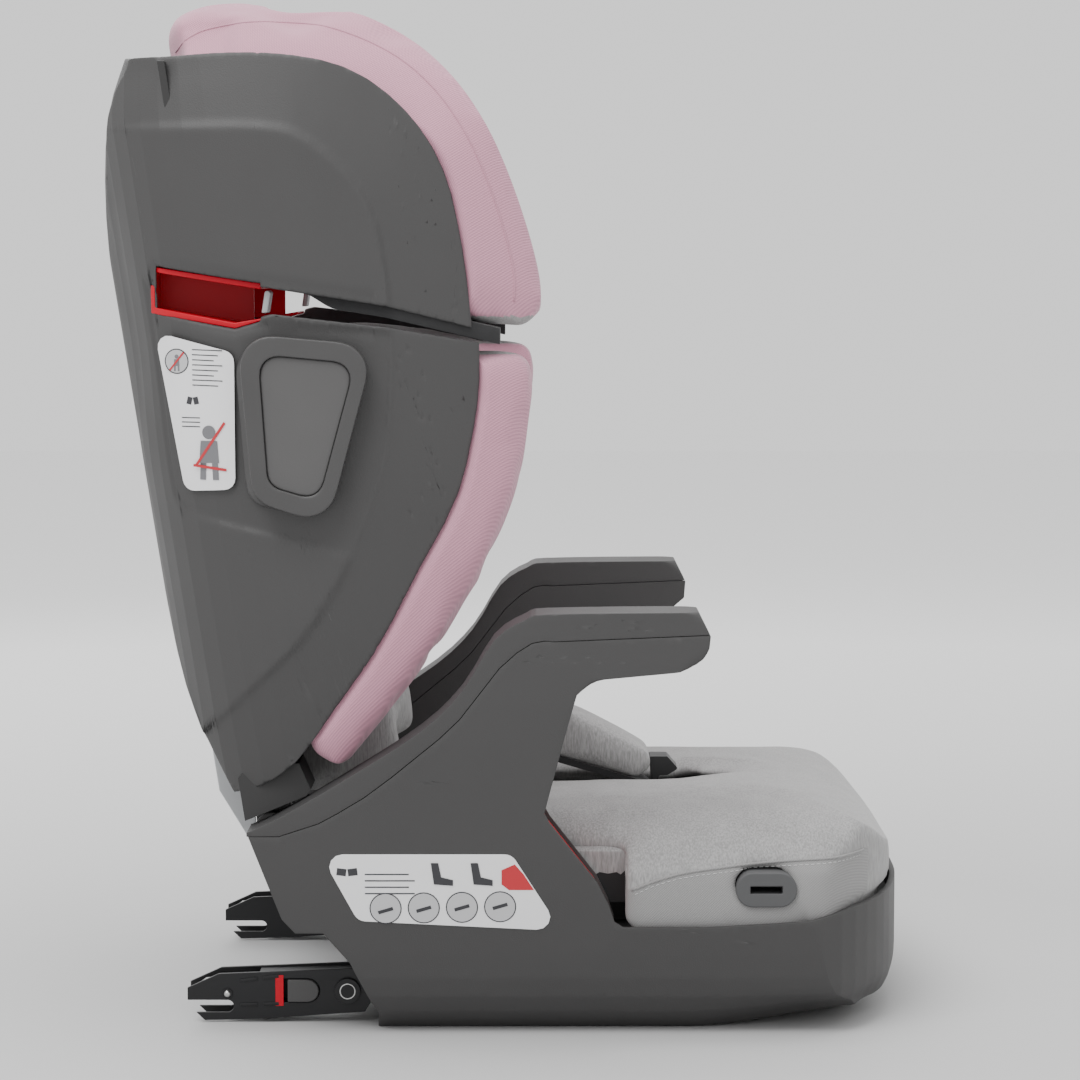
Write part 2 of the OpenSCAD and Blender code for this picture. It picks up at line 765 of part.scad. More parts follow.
// Sprung gate that lets the belt in and keeps it from slipping out
module belt_gate(side) {
  color("#9fa1a3")
    on_side(side)
      intersection() {
        union() {
          cross_rod(gate_pivot, 2, 176, 199);
          side_slab(176, 199)
            polygon([[gate_pivot.x - 2, gate_pivot.y], [gate_pivot.x + 2, gate_pivot.y],
              [gate_pivot.x, gate_pivot.y - 13], [gate_pivot.x - 4, gate_pivot.y - 13]]);
        }
        wing_core(-0.2);
      }
}

pod_outline = rounded([[-246, 478], [-154, 470], [-186, 350], [-236, 366]], 20, 6);
pod_inner = rounded([[-232, 464], [-167, 458], [-192, 366], [-226, 376]], 12, 6);
module pod_ring(side) {
  color("#555658")
    on_side(side)
      difference() {
        side_slab(wing_half_w - 16, wing_half_w + pod_out) polygon(pod_outline);
        side_slab(wing_half_w + pod_out - 8, wing_half_w + pod_out + 1) polygon(pod_inner);
        wing_core(-0.05);
      }
}

module pod_face(side) {
  color("#6c6d6f")
    on_side(side)
      side_slab(wing_half_w + pod_out - 8, wing_half_w + pod_out - 2.5) polygon(pod_inner);
}

wing_label_outline = rounded([[-300, 482], [-244, 468], [-244, 376], [-280, 374]], 8);
module wing_labels() {
  color("white")
    both_sides()
      intersection() {
        side_slab(150, 240) polygon(wing_label_outline);
        wing_band(-0.5, -0.05);
      }
}

// ---- height adjuster ----

handle_w = 66;
handle_h = 18;
handle_v = 452;
handle_lift = 8;
handle_n = 33;
module height_handle() {
  color("#2d2e30")
    back_axes()
      difference() {
        translate([-handle_w / 2, handle_n, handle_v]) cube([handle_w, 24, handle_h]);
        translate([-handle_w / 2 + 7, handle_n + 6, handle_v - 1]) cube([handle_w - 14, 20, handle_h - 6]);
      }
}

module handle_spring() {
  color("silver")
    back_axes()
      translate([0, handle_n + 6, handle_v + handle_h + 0.05])
        difference() {
          cylinder(r = 4.5, h = 24);
          translate([0, 0, -1]) cylinder(r = 3.3, h = 26);
        }
}

// Lock pin, drawn at its released place, just behind the rack
module lock_pin() {
  color("silver")
    back_axes()
      translate([0, -spine_back + 3.4, rack_v0])
        rotate([-90, 0, 0]) cylinder(r = 4, h = 8);
}

// ---- anchor connectors ----

module latch_crossbar() {
  color("#1f2021") {
    cross_rod(pivot, shaft_r, -anchor_pitch / 2 - arm_t / 2 - 3, anchor_pitch / 2 + arm_t / 2 + 3);
    both_sides()
      cross_rod(pivot, shaft_r + 3, anchor_pitch / 2 + arm_t / 2 + 0.5, anchor_pitch / 2 + arm_t / 2 + 3);
    both_sides()
      difference() {
        side_slab(chan_in - 12, chan_in - 0.5)
          polygon([[pivot.x - 9, pivot.y - 9], [pivot.x + 9, pivot.y - 9], [pivot.x + 9, pivot.y + 9],
            [pivot.x - 9, pivot.y + 9]]);
        cross_rod(pivot, shaft_r - 0.01, 0, 300);
      }
  }
}

plate_t = 2.5;
tip = pivot.x - hook_len - 26;
slot_z = pivot.y - 11;
hook_at = [pivot.x - hook_len + 2, slot_z];
arm_outline = [[pivot.x + 12, pivot.y - 15], [pivot.x + 16, pivot.y - 8], [pivot.x + 16, pivot.y + 10],
  [pivot.x + 10, pivot.y + 16], [pivot.x - 90, pivot.y + 12], [tip, pivot.y + 2], [tip, slot_z + hook_r],
  [tip + 1, slot_z + hook_r - 1], [tip + 6, slot_z - hook_r], [tip + 12, pivot.y - 21], [pivot.x - 60, pivot.y - 20]];

button_travel = 6;
// D-shaped outline of the release button with a gap round it, lengthened to the rear
function button_outline(gap, more) = concat([[pivot.x - 42 - more - gap, pivot.y - 8 - gap]],
  arc([pivot.x - 28, pivot.y], 8 + gap, 270, 450, 8), [[pivot.x - 42 - more - gap, pivot.y + 8 + gap]]);

module latch_arm(side) {
  mid = anchor_pitch / 2;
  color("#1c1d1e")
    on_side(side)
      difference() {
        union() {
          side_slab(mid - arm_t / 2, mid - arm_t / 2 + plate_t) polygon(arm_outline);
          side_slab(mid + arm_t / 2 - plate_t, mid + arm_t / 2) polygon(arm_outline);
          cross_rod(jaw_at, jaw_pin_r, mid - arm_t / 2, mid + arm_t / 2);
        }
        hook_cut(0);
        cross_rod(pivot, shaft_r + shaft_play, mid - 30, mid + 30);
        side_slab(mid, mid + 30) polygon(button_outline(0.4, button_travel));
      }
}

module hook_cut(grow) {
  mid = anchor_pitch / 2;
  cross_rod(hook_at, hook_r + grow, mid - 30, mid + 30);
  side_slab(mid - 30, mid + 30)
    polygon([[tip - 30, slot_z - hook_r - grow], [hook_at.x, slot_z - hook_r - grow],
      [hook_at.x, slot_z + hook_r + grow], [tip - 30, slot_z + hook_r + grow]]);
}

// Plastic body between the two steel plates, round the jaw's and the button's works
module latch_housing(side) {
  mid = anchor_pitch / 2;
  color("#2a2b2c")
    on_side(side)
      difference() {
        side_slab(mid - arm_t / 2 + plate_t + 0.05, mid + arm_t / 2 - plate_t - 0.05)
          polygon([[pivot.x + 10, pivot.y - 13], [pivot.x + 14, pivot.y], [pivot.x + 9, pivot.y + 14],
            [pivot.x - 62, pivot.y + 12], [pivot.x - 62, pivot.y - 17]]);
        cross_rod(pivot, shaft_r + shaft_play, mid - 30, mid + 30);
        translate([mid - 4, -(pivot.x - 18), pivot.y - 9]) cube([40, 34, 20]);
      }
}

jaw_pin_r = 4;
jaw_play = 0.05;
jaw_at = [pivot.x - 84, pivot.y + 1];
// Catch that closes the hook slot, drawn open as it waits for the anchor bar
module latch_jaw(side) {
  mid = anchor_pitch / 2;
  color("#8c8e90")
    on_side(side)
      difference() {
        side_slab(mid - 4, mid + 4)
          polygon([for (q = [[14, 4], [-6, 6.5], [-16, 5], [-22, 1], [-20, -3], [-12, -1.5], [-6, -6], [14, -5]]) jaw_at + q]);
        cross_rod(jaw_at, jaw_pin_r + jaw_play, mid - 30, mid + 30);
      }
}

// Release button in the connector's outer face, with its red indicator
module release_button(side) {
  mid = anchor_pitch / 2;
  color("#6a6c6e")
    on_side(side)
      side_slab(mid - 3.5, mid + arm_t / 2 + 2)
        polygon(button_outline(0, 0));
}

// ---- lap belt positioner ----

module lap_strap_pad() {
  color("#bdbebf")
    side_slab(-strap_half_w, strap_half_w)
      polygon(rounded([[-36, 186], [-22, 204], [40, 172], [44, 160], [32, 152], [-32, 171]], 7, 4));
}

module strap_webbing() {
  color("#2a2a2b") {
    side_slab(-strap_half_w + 3, strap_half_w - 3)
      polygon([[-40, 170], [-41, 168], [30, 147], [41, 140], [46, 122], [50, 122], [45, 142], [34, 150.5], [-30, 170]]);
    difference() {
      cross_rod(strap_pivot, 5.5, -strap_half_w + 3, strap_half_w - 3);
      cross_rod(strap_pivot, 3.05, -60, 60);
    }
  }
}

module strap_clip() {
  color("#2f3032")
    side_slab(-12, 12)
      polygon(rounded([[44.5, 172], [58, 172], [66, 163], [58, 158], [52, 158], [49, 146], [47, 146], [46, 160]], 1.5, 3));
}

// ---- nodes ----

base_shell();
base_deck();
armrest_liner(1);  // armrest_liner_left
armrest_liner(-1);  // armrest_liner_right
armrest_cap(1);  // armrest_cap_left
armrest_cap(-1);  // armrest_cap_right
lap_belt_guide(1);  // lap_belt_guide_left
lap_belt_guide(-1);  // lap_belt_guide_right
seat_foam();
seat_cushion();
cup_grommet(1);  // cup_grommet_left
cup_grommet(-1);  // cup_grommet_right
grip_feet();
base_screws();
recline_brackets();
recline_rod();
strap_anchor();
base_labels();
rear_base_cover();
back_frame();
back_rear_panel();
height_rack();
lower_back_pad();
back_board();
wing_shell(1);  // wing_shell_left
wing_shell(-1);  // wing_shell_right
wing_rear_cover();
carriage_plate();
slide_runners();
headrest_pad();
torso_pad(1);  // torso_pad_left
torso_pad(-1);  // torso_pad_right
centre_pad();
belt_guide(1);  // belt_guide_left
belt_guide(-1);  // belt_guide_right
belt_gate(1);  // belt_gate_left
belt_gate(-1);  // belt_gate_right
pod_ring(1);  // pod_ring_left
pod_ring(-1);  // pod_ring_right
pod_face(1);  // pod_face_left
pod_face(-1);  // pod_face_right
wing_labels();
headrest_mesh();
height_handle();
handle_spring();
lock_pin();
latch_crossbar();
latch_arm(1);  // latch_arm_left
latch_arm(-1);  // latch_arm_right
latch_housing(1);  // latch_housing_left
latch_housing(-1);  // latch_housing_right
latch_jaw(1);  // latch_jaw_left
latch_jaw(-1);  // latch_jaw_right
release_button(1);  // release_button_left
release_button(-1);  // release_button_right
lap_strap_pad();
strap_webbing();
strap_clip();
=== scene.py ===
"""Booster seat: the looks of its shells, fabrics and fittings, built around the packed frame."""
import json
import math

import bpy
import numpy as np
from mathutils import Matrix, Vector


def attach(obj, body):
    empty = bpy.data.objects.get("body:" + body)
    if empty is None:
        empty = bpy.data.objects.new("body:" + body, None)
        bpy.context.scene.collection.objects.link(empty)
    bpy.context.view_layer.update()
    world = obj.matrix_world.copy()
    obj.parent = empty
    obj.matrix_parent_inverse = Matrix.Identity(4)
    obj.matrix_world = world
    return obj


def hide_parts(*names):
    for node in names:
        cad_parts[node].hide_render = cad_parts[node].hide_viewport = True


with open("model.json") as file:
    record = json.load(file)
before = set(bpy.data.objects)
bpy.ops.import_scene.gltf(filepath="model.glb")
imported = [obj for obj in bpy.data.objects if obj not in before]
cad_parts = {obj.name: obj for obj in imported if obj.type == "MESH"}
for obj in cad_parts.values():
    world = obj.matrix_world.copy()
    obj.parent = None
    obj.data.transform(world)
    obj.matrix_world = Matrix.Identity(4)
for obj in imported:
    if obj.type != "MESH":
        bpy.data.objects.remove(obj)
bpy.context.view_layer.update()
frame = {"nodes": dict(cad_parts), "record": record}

bl_info = {
    "name": "Booster seat",
    "version": (1, 0, 0),
    "blender": (4, 5, 0),
    "location": "3D View > Sidebar > Booster seat",
    "description": "Builds the booster seat's shells, fabrics and fittings",
    "category": "Object",
}

MM = 0.001
LEFT, RIGHT = 1, -1
SIDES = ((LEFT, "left"), (RIGHT, "right"))


# ---- curves, in millimetres as [forward, up] ----

def curve(points, steps=6):
    """A smooth curve through a few points."""
    p = [np.array(q, float) for q in points]
    out = []
    for i in range(len(p) - 1):
        a, b, c, d = p[max(i - 1, 0)], p[i], p[i + 1], p[min(i + 2, len(p) - 1)]
        for t in np.arange(steps) / steps:
            out.append(0.5 * (2 * b + (c - a) * t + (2 * a - 5 * b + 4 * c - d) * t * t
                              + (3 * b - a - 3 * c + d) * t ** 3))
    return np.array(out + [p[-1]])


def spread(line, count):
    """The same line with count points, evenly spaced along it."""
    line = np.asarray(line, float)
    run = np.r_[0, np.cumsum(np.linalg.norm(np.diff(line, axis=0), axis=1))]
    at = np.linspace(0, run[-1], count)
    return np.stack([np.interp(at, run, line[:, k]) for k in range(line.shape[1])], axis=1)


def ease(low, high, x):
    """0 below low, 1 above high, smooth between."""
    t = np.clip((np.asarray(x, float) - low) / (high - low), 0, 1)
    return t * t * (3 - 2 * t)


def nearest_on(points, line):
    """Distance of each point to an open line, signed positive on the line's right, and the nearest points."""
    points, line = np.asarray(points, float), np.asarray(line, float)
    best, sign, at = np.full(len(points), 1e9), np.ones(len(points)), np.zeros((len(points), 2))
    for a, b in zip(line[:-1], line[1:]):
        d = b - a
        t = np.clip(((points - a) @ d) / (d @ d), 0, 1)
        spot = a + t[:, None] * d
        off = points - spot
        dist = np.linalg.norm(off, axis=1)
        near = dist < best
        best = np.where(near, dist, best)
        sign = np.where(near, np.sign(off[:, 0] * d[1] - off[:, 1] * d[0]), sign)
        at[near] = spot[near]
    return best * sign, at


def line_distance(points, line):
    return nearest_on(points, line)[0]


# ---- mesh helpers ----

def clear_selection():
    if bpy.context.object and bpy.context.object.mode != "OBJECT":
        bpy.ops.object.mode_set(mode="OBJECT")
    bpy.ops.object.select_all(action="DESELECT")


def pick(piece):
    clear_selection()
    piece.select_set(True)
    bpy.context.view_layer.objects.active = piece


def named(piece, name):
    piece.name = name
    piece.data.name = name
    return piece


def coords(piece):
    """The piece's vertices as an array, in millimetres."""
    out = np.empty(len(piece.data.vertices) * 3)
    piece.data.vertices.foreach_get("co", out)
    return out.reshape(-1, 3) / MM


def set_coords(piece, xyz):
    piece.data.vertices.foreach_set("co", (np.asarray(xyz) * MM).ravel())
    piece.data.update()


def modify(piece, kind, **settings):
    """Adds a modifier, sets it and applies it."""
    pick(piece)
    step = piece.modifiers.new(kind.title(), kind)
    for key, value in settings.items():
        setattr(step, key, value)
    bpy.ops.object.modifier_apply(modifier=step.name)
    return piece


def smooth(piece, degrees=None):
    pick(piece)
    if degrees:
        bpy.ops.object.shade_smooth_by_angle(angle=math.radians(degrees))
    else:
        bpy.ops.object.shade_smooth()
    return piece


def tidy(piece, gap=0.02):
    """Merges doubles and turns the faces outwards."""
    pick(piece)
    bpy.ops.object.mode_set(mode="EDIT")
    bpy.ops.mesh.select_all(action="SELECT")
    bpy.ops.mesh.remove_doubles(threshold=gap * MM)
    bpy.ops.mesh.normals_make_consistent(inside=False)
    bpy.ops.object.mode_set(mode="OBJECT")
    return piece


def prism(name, outline, x0, x1):
    """A side outline [forward, up] drawn out from x0 to x1."""
    outline = np.asarray(outline, float)
    clear_selection()
    bpy.ops.mesh.primitive_circle_add(vertices=len(outline), fill_type="NGON")
    piece = named(bpy.context.object, name)
    set_coords(piece, np.c_[np.full(len(outline), x0), -outline[:, 0], outline[:, 1]])
    bpy.ops.object.mode_set(mode="EDIT")
    bpy.ops.mesh.select_all(action="SELECT")
    bpy.ops.mesh.extrude_region_move(TRANSFORM_OT_translate={"value": ((x1 - x0) * MM, 0, 0)})
    bpy.ops.object.mode_set(mode="OBJECT")
    return tidy(piece)


def bevel(piece, width, segments):
    return modify(piece, "BEVEL", width=width * MM, segments=segments, limit_method="ANGLE",
                  angle_limit=math.radians(30), use_clamp_overlap=True, harden_normals=False)


def join(name, pieces):
    pieces = list(pieces)
    pick(pieces[0])
    for piece in pieces:
        piece.select_set(True)
    bpy.ops.object.join()
    return named(bpy.context.object, name)


def copy_of(node, name, voxel, rounds=4):
    """A loose copy of a CAD node's mesh; with a voxel size it is also remeshed evenly and smoothed."""
    clear_selection()
    piece = frame["nodes"][node].copy()
    piece.data = piece.data.copy()
    bpy.context.scene.collection.objects.link(piece)
    piece.parent = None
    piece.matrix_world.identity()
    for key in list(piece.keys()):
        del piece[key]
    named(piece, name)
    piece.data.materials.clear()
    tidy(piece, 0.01)
    if not voxel:
        return piece
    modify(piece, "REMESH", mode="VOXEL", voxel_size=voxel * MM, use_smooth_shade=True)
    if rounds:
        modify(piece, "SMOOTH", factor=0.5, iterations=rounds)
    return piece


def inflate(piece, pressure=4.0, cap=6.0, frames=20):
    """Fills the piece like a sewn pad: cloth under pressure, held to a cap, and smoothed."""
    start = coords(piece)
    pick(piece)
    step = piece.modifiers.new("Cloth", "CLOTH")
    set_up = step.settings
    set_up.use_pressure = True
    set_up.uniform_pressure_force = pressure
    set_up.effector_weights.gravity = 0
    set_up.tension_stiffness = set_up.compression_stiffness = 15
    scene = bpy.context.scene
    step.point_cache.frame_start, step.point_cache.frame_end = 1, frames
    for number in range(1, frames + 1):
        scene.frame_set(number)
    bpy.ops.object.modifier_apply(modifier=step.name)
    scene.frame_set(1)
    move = coords(piece) - start
    size = np.maximum(np.linalg.norm(move, axis=1), 1e-9)
    set_coords(piece, start + move * (np.minimum(size, cap) / size)[:, None])
    return piece


def shown_for(piece, body, material, *nodes, slot=None):
    """Gives the piece its material, makes it ride and says what it stands for."""
    piece.data.materials.clear()
    piece.data.materials.append(material)
    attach(piece, body)
    if nodes:
        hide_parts(*nodes)
    return piece


# ---- finishes ----

class Socket:
    """A shader socket that can be used in sums and products."""

    def __init__(self, tree, value):
        self.tree, self.value = tree, value

    def node(self, kind, inputs=(), output=0, **settings):
        made = self.tree.nodes.new(kind)
        for key, value in settings.items():
            setattr(made, key, value)
        for key, value in dict(inputs).items():
            if isinstance(value, Socket):
                value = value.value
            if isinstance(value, bpy.types.NodeSocket):
                self.tree.links.new(value, made.inputs[key])
            else:
                made.inputs[key].default_value = value
        return Socket(self.tree, made.outputs[output])

    def maths(self, operation, *others):
        return self.node("ShaderNodeMath", dict(enumerate((self, *others))), operation=operation)

    def __add__(self, other):
        return self.maths("ADD", other)

    def __sub__(self, other):
        return self.maths("SUBTRACT", other)

    def __mul__(self, other):
        return self.maths("MULTIPLY", other)

    def __rsub__(self, other):
        return Socket(self.tree, other).maths("SUBTRACT", self)

    __radd__, __rmul__ = __add__, __mul__

    def noise(self, scale, stretch=(1, 1, 1), detail=2.0, rough=0.5):
        """Noise of a point, with scale in cells per metre."""
        at = self.node("ShaderNodeVectorMath", {0: self, 1: tuple(scale * k for k in stretch)},
                       operation="MULTIPLY")
        return self.node("ShaderNodeTexNoise",
                         {"Vector": at, "Scale": 1.0, "Detail": detail, "Roughness": rough})

    def ramp(self, low, high, to_low=0.0, to_high=1.0):
        return self.node("ShaderNodeMapRange", {"Value": self, "From Min": low, "From Max": high,
                                                "To Min": to_low, "To Max": to_high})

    def mixed(self, a, b):
        """Colour a where this is 0 and b where it is 1."""
        made = self.tree.nodes.new("ShaderNodeMix")
        made.data_type = "RGBA"
        self.tree.links.new(self.value, made.inputs[0])
        for index, colour in ((6, a), (7, b)):
            if isinstance(colour, Socket):
                self.tree.links.new(colour.value, made.inputs[index])
            else:
                made.inputs[index].default_value = (*colour, 1)
        return Socket(self.tree, made.outputs[2])


def finish_of(name, colour, roughness=0.5, **more):
    """A principled material. Returns it, the point in metres and a function that sets inputs."""
    made = bpy.data.materials.new(name)
    made.use_nodes = True
    tree = made.node_tree
    shader = next(n for n in tree.nodes if n.type == "BSDF_PRINCIPLED")
    point = Socket(tree, tree.nodes.new("ShaderNodeTexCoord").outputs["Object"])

    def put(key, value):
        if isinstance(value, Socket):
            tree.links.new(value.value, shader.inputs[key])
        else:
            shader.inputs[key].default_value = (*value, 1) if key == "Base Color" else value

    put("Base Color", colour)
    put("Roughness", roughness)
    for key, value in more.items():
        put(key.replace("_", " "), value)
    made.diffuse_color = (*colour, 1)
    return made, point, put


def bumped(point, height, strength, distance):
    return point.node("ShaderNodeBump", {"Height": height, "Strength": strength, "Distance": distance * MM})


def plastic(name, colour, roughness, grain=0.15, cells=1300):
    """Moulded plastic with a fine spark-eroded grain."""
    made, point, put = finish_of(name, colour, roughness)
    fine = point.noise(cells, detail=3)
    broad = point.noise(18, detail=2)
    put("Roughness", broad.ramp(0.3, 0.7, roughness - 0.04, roughness + 0.05))
    put("Base Color", broad.ramp(0.3, 0.7).mixed([c * 0.96 for c in colour], [c * 1.05 for c in colour]))
    put("Normal", bumped(point, fine, grain, 0.25))
    return made


def twill(name, colour, pitch=2.2, dark=0.68, strength=0.6):
    """Woven twill: fine diagonal ribs with a little fuzz."""
    made, point, put = finish_of(name, colour, 0.85, Sheen_Weight=0.25, Sheen_Roughness=0.5)
    parts = point.tree.nodes.new("ShaderNodeSeparateXYZ")
    point.tree.links.new(point.value, parts.inputs[0])
    x, y, z = (Socket(point.tree, parts.outputs[k]) for k in range(3))
    turn = 2 * math.pi / (pitch * MM)
    ribs = ((x * 0.8 + y + z) * turn).maths("SINE") * 0.5 + 0.5
    cross = ((x + y - z * 1.1) * (turn * 1.3)).maths("SINE") * 0.5 + 0.5
    fuzz = point.noise(700, detail=4, rough=0.6)
    height = ribs * 0.6 + cross * 0.25 + fuzz * 0.5
    tone = (height * 0.75).maths("MINIMUM", 1.0)
    put("Base Color", tone.mixed([c * dark for c in colour], [c * 1.08 for c in colour]))
    put("Normal", bumped(point, height, strength, 0.35))
    return made


def heather(name, colour, streak=(1, 1, 0.14), dark=0.7, cells=850, strength=0.5):
    """Melange weave: short pale and dark threads that run one way."""
    made, point, put = finish_of(name, colour, 0.9, Sheen_Weight=0.2, Sheen_Roughness=0.5)
    threads = point.noise(cells, streak, detail=2, rough=0.6)
    blotch = point.noise(60, detail=3)
    fine = point.noise(1500, (1, 1, 0.5), detail=2)
    tone = threads.ramp(0.32, 0.68) * 0.8 + blotch.ramp(0.3, 0.7) * 0.2
    put("Base Color", tone.mixed([c * dark for c in colour], [min(c * 1.22, 1) for c in colour]))
    put("Normal", bumped(point, threads * 0.6 + fine * 0.5, strength, 0.4))
    return made


def steel(name, colour, roughness, metallic=1.0, grain=0.06):
    made, point, put = finish_of(name, colour, roughness, Metallic=metallic)
    mark = point.noise(350, (1, 0.2, 1), detail=3)
    put("Roughness", mark.ramp(0.3, 0.7, roughness - 0.07, roughness + 0.08))
    put("Normal", bumped(point, mark, grain, 0.2))
    return made


LOOK = {}


def make_finishes(c):
    """All the finishes, from the panel's colours."""
    LOOK.update(
        shell=plastic("shell_plastic", c.shell, 0.56, 0.55, 1000),
        pod=plastic("pod_plastic", [k * 1.15 for k in c.shell], 0.44, 0.3),
        pod_face=plastic("pod_face_plastic", [k * 1.7 for k in c.shell], 0.5, 0.3),
        dark=plastic("dark_plastic", [k * 0.42 for k in c.shell], 0.5, 0.2, 900),
        black=plastic("black_plastic", (0.012, 0.012, 0.013), 0.45, 0.1),
        pale=plastic("grey_plastic", (0.42, 0.43, 0.44), 0.5, 0.12),
        red=finish_of("red_plastic", (0.5, 0.004, 0.018), 0.34, Specular_IOR_Level=0.2)[0],
        rose=twill("rose_fabric", c.rose, size("weave")),
        rose_edge=twill("rose_edge_fabric", [k * 0.9 for k in c.rose], 1.4, 0.75),
        grey=heather("grey_fabric", c.grey),
        band=twill("band_fabric", [k * 0.9 for k in c.grey], 2.0, 0.72, 0.4),
        knit=heather("knit_fabric", (0.17, 0.17, 0.175), (1, 1, 0.4), 0.5, 700, 0.6),
        lining=twill("lining_fabric", (0.016, 0.016, 0.017), 1.4, 0.6, 0.3),
        webbing=twill("webbing", (0.02, 0.02, 0.021), 1.6, 0.6, 0.6),
        rubber=plastic("rubber", (0.075, 0.076, 0.078), 0.7, 0.2, 800),
        steel_black=steel("black_steel", (0.012, 0.012, 0.013), 0.36, 0.35, 0.12),
        steel=steel("bare_steel", (0.55, 0.55, 0.54), 0.3),
        label=finish_of("label", (0.82, 0.82, 0.83), 0.4)[0],
        ink=finish_of("label_ink", (0.03, 0.03, 0.035), 0.5)[0],
        print_grey=finish_of("label_grey", (0.5, 0.5, 0.51), 0.5)[0],
        print_dark=finish_of("label_dark", (0.16, 0.16, 0.17), 0.5)[0],
        ink_red=finish_of("label_red", (0.5, 0.02, 0.03), 0.5)[0],
        thread_grey=finish_of("grey_thread", (0.6, 0.6, 0.6), 0.8)[0],
    )


# ---- lines laid on surfaces ----

def laid_on(piece, points, side, lift):
    """Points [forward, up] carried from the side onto the piece's surface, in millimetres."""
    out = []
    for u, z in np.asarray(points, float):
        hit, at, normal, _ = piece.ray_cast(Vector((side * 400, -u, z)) * MM, Vector((-side, 0, 0)))
        if hit:
            out.append(at / MM + normal * lift)
    return np.array([list(v) for v in out])


def tube(name, lines, radius, material, body):
    """One round cord, or several, along lines of points in millimetres."""
    clear_selection()
    bpy.ops.curve.primitive_bezier_curve_add()
    piece = bpy.context.object
    piece.data.splines.clear()
    piece.data.dimensions = "3D"
    for line in lines:
        spline = piece.data.splines.new("POLY")
        spline.points.add(len(line) - 1)
        spline.points.foreach_set("co", np.c_[np.asarray(line) * MM, np.ones(len(line))].ravel())
    piece.data.bevel_depth = radius * MM
    piece.data.bevel_resolution = 2
    piece.data.use_fill_caps = True
    pick(piece)
    bpy.ops.object.convert(target="MESH")
    piece = named(bpy.context.object, name)
    tidy(piece, 0.001)
    smooth(piece)
    piece.data.materials.clear()
    piece.data.materials.append(material)
    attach(piece, body)
    return piece


def stitches(name, line, material, body, length=2.4, gap=1.6, radius=0.22):
    """A row of stitches along a line of points that already lies on its surface."""
    line = np.asarray(line, float)
    run = np.r_[0, np.cumsum(np.linalg.norm(np.diff(line, axis=0), axis=1))]
    dashes = []
    for start in np.arange(0, run[-1] - length, length + gap):
        at = start + np.linspace(0, length, 4)
        dashes.append(np.stack([np.interp(at, run, line[:, k]) for k in range(3)], axis=1))
    return tube(name, dashes, radius, material, body)


BODY = {}


def limit_faces(piece, triangles=180000):
    count = sum(len(f.vertices) - 2 for f in piece.data.polygons)
    if count > triangles:
        modify(piece, "DECIMATE", ratio=triangles / count)
    return piece


def split_long_edges(piece, longest, rounds=7):
    """Divides the mesh until no edge is longer than this, in millimetres, keeping its shape."""
    modify(piece, "TRIANGULATE")
    for _ in range(rounds):
        xyz = coords(piece)
        pairs = np.empty(len(piece.data.edges) * 2, int)
        piece.data.edges.foreach_get("vertices", pairs)
        pairs = pairs.reshape(-1, 2)
        long = np.linalg.norm(xyz[pairs[:, 0]] - xyz[pairs[:, 1]], axis=1) > longest
        if not long.any():
            break
        pick(piece)
        bpy.ops.object.mode_set(mode="EDIT")
        bpy.context.tool_settings.mesh_select_mode = (False, True, False)
        bpy.ops.mesh.select_all(action="DESELECT")
        bpy.ops.object.mode_set(mode="OBJECT")
        piece.data.edges.foreach_set("select", long)
        bpy.ops.object.mode_set(mode="EDIT")
        bpy.ops.mesh.subdivide(number_cuts=1)
        bpy.ops.mesh.select_all(action="SELECT")
        bpy.ops.mesh.quads_convert_to_tris()
        bpy.ops.object.mode_set(mode="OBJECT")
    return piece


def dressed(node, material, edge=0.8, segments=2, split=None, change=None, smoothing=0, soften=None):
    """A hard part: the node's shape with its edges rounded, restyled where asked, with its finish.
    soften is a test of points and a number of rounds: where it holds, the shape is rounded further."""
    piece = copy_of(node, node + "_look", None)
    if edge:
        pick(piece)
        bpy.ops.object.mode_set(mode="EDIT")
        bpy.ops.mesh.select_all(action="SELECT")
        bpy.ops.mesh.dissolve_limited(angle_limit=math.radians(0.6))
        bpy.ops.object.mode_set(mode="OBJECT")
        bevel(piece, edge, segments)
    if split:
        split_long_edges(piece, split)
    if change:
        set_coords(piece, change(coords(piece)))
    if smoothing:
        modify(piece, "SMOOTH", factor=0.4, iterations=smoothing)
    if soften:
        test, rounds = soften
        group = piece.vertex_groups.new(name="soft")
        group.add([int(k) for k in np.nonzero(test(coords(piece)))[0]], 1.0, "REPLACE")
        modify(piece, "SMOOTH", factor=0.5, iterations=rounds, vertex_group="soft")
        piece.vertex_groups.clear()
    limit_faces(piece)
    smooth(piece, 40)
    if not split:
        modify(piece, "WEIGHTED_NORMAL", keep_sharp=True, weight=60)
    return shown_for(piece, BODY[node], material, node)


# ---- the wing unit's styling lines, [forward, up] ----

CREASE = np.vstack([
    curve([(-345, 619), (-302, 619), (-226, 619), (-198, 612), (-174, 594), (-158, 574), (-148, 550),
           (-142, 517), (-140, 499)], 5),
    curve([(-139, 481), (-140, 433), (-145, 392), (-160, 350), (-175, 313), (-202, 273), (-232, 243),
           (-262, 214)], 5)])
DISH = np.array([(-316, 520), (-308, 470), (-301, 433), (-294, 392), (-290, 369), (-282, 357),
                 (-212, 341), (-150, 325), (-100, 330), (-100, 486), (-140, 485), (-231, 492)], float)
SLOT = np.array([(-299, 523), (-303, 509), (-299, 497), (-244, 487), (-231, 491), (-219, 494),
                 (-140, 485), (-60, 471), (-60, 478), (-142, 499), (-219, 511), (-231, 512.5)], float)


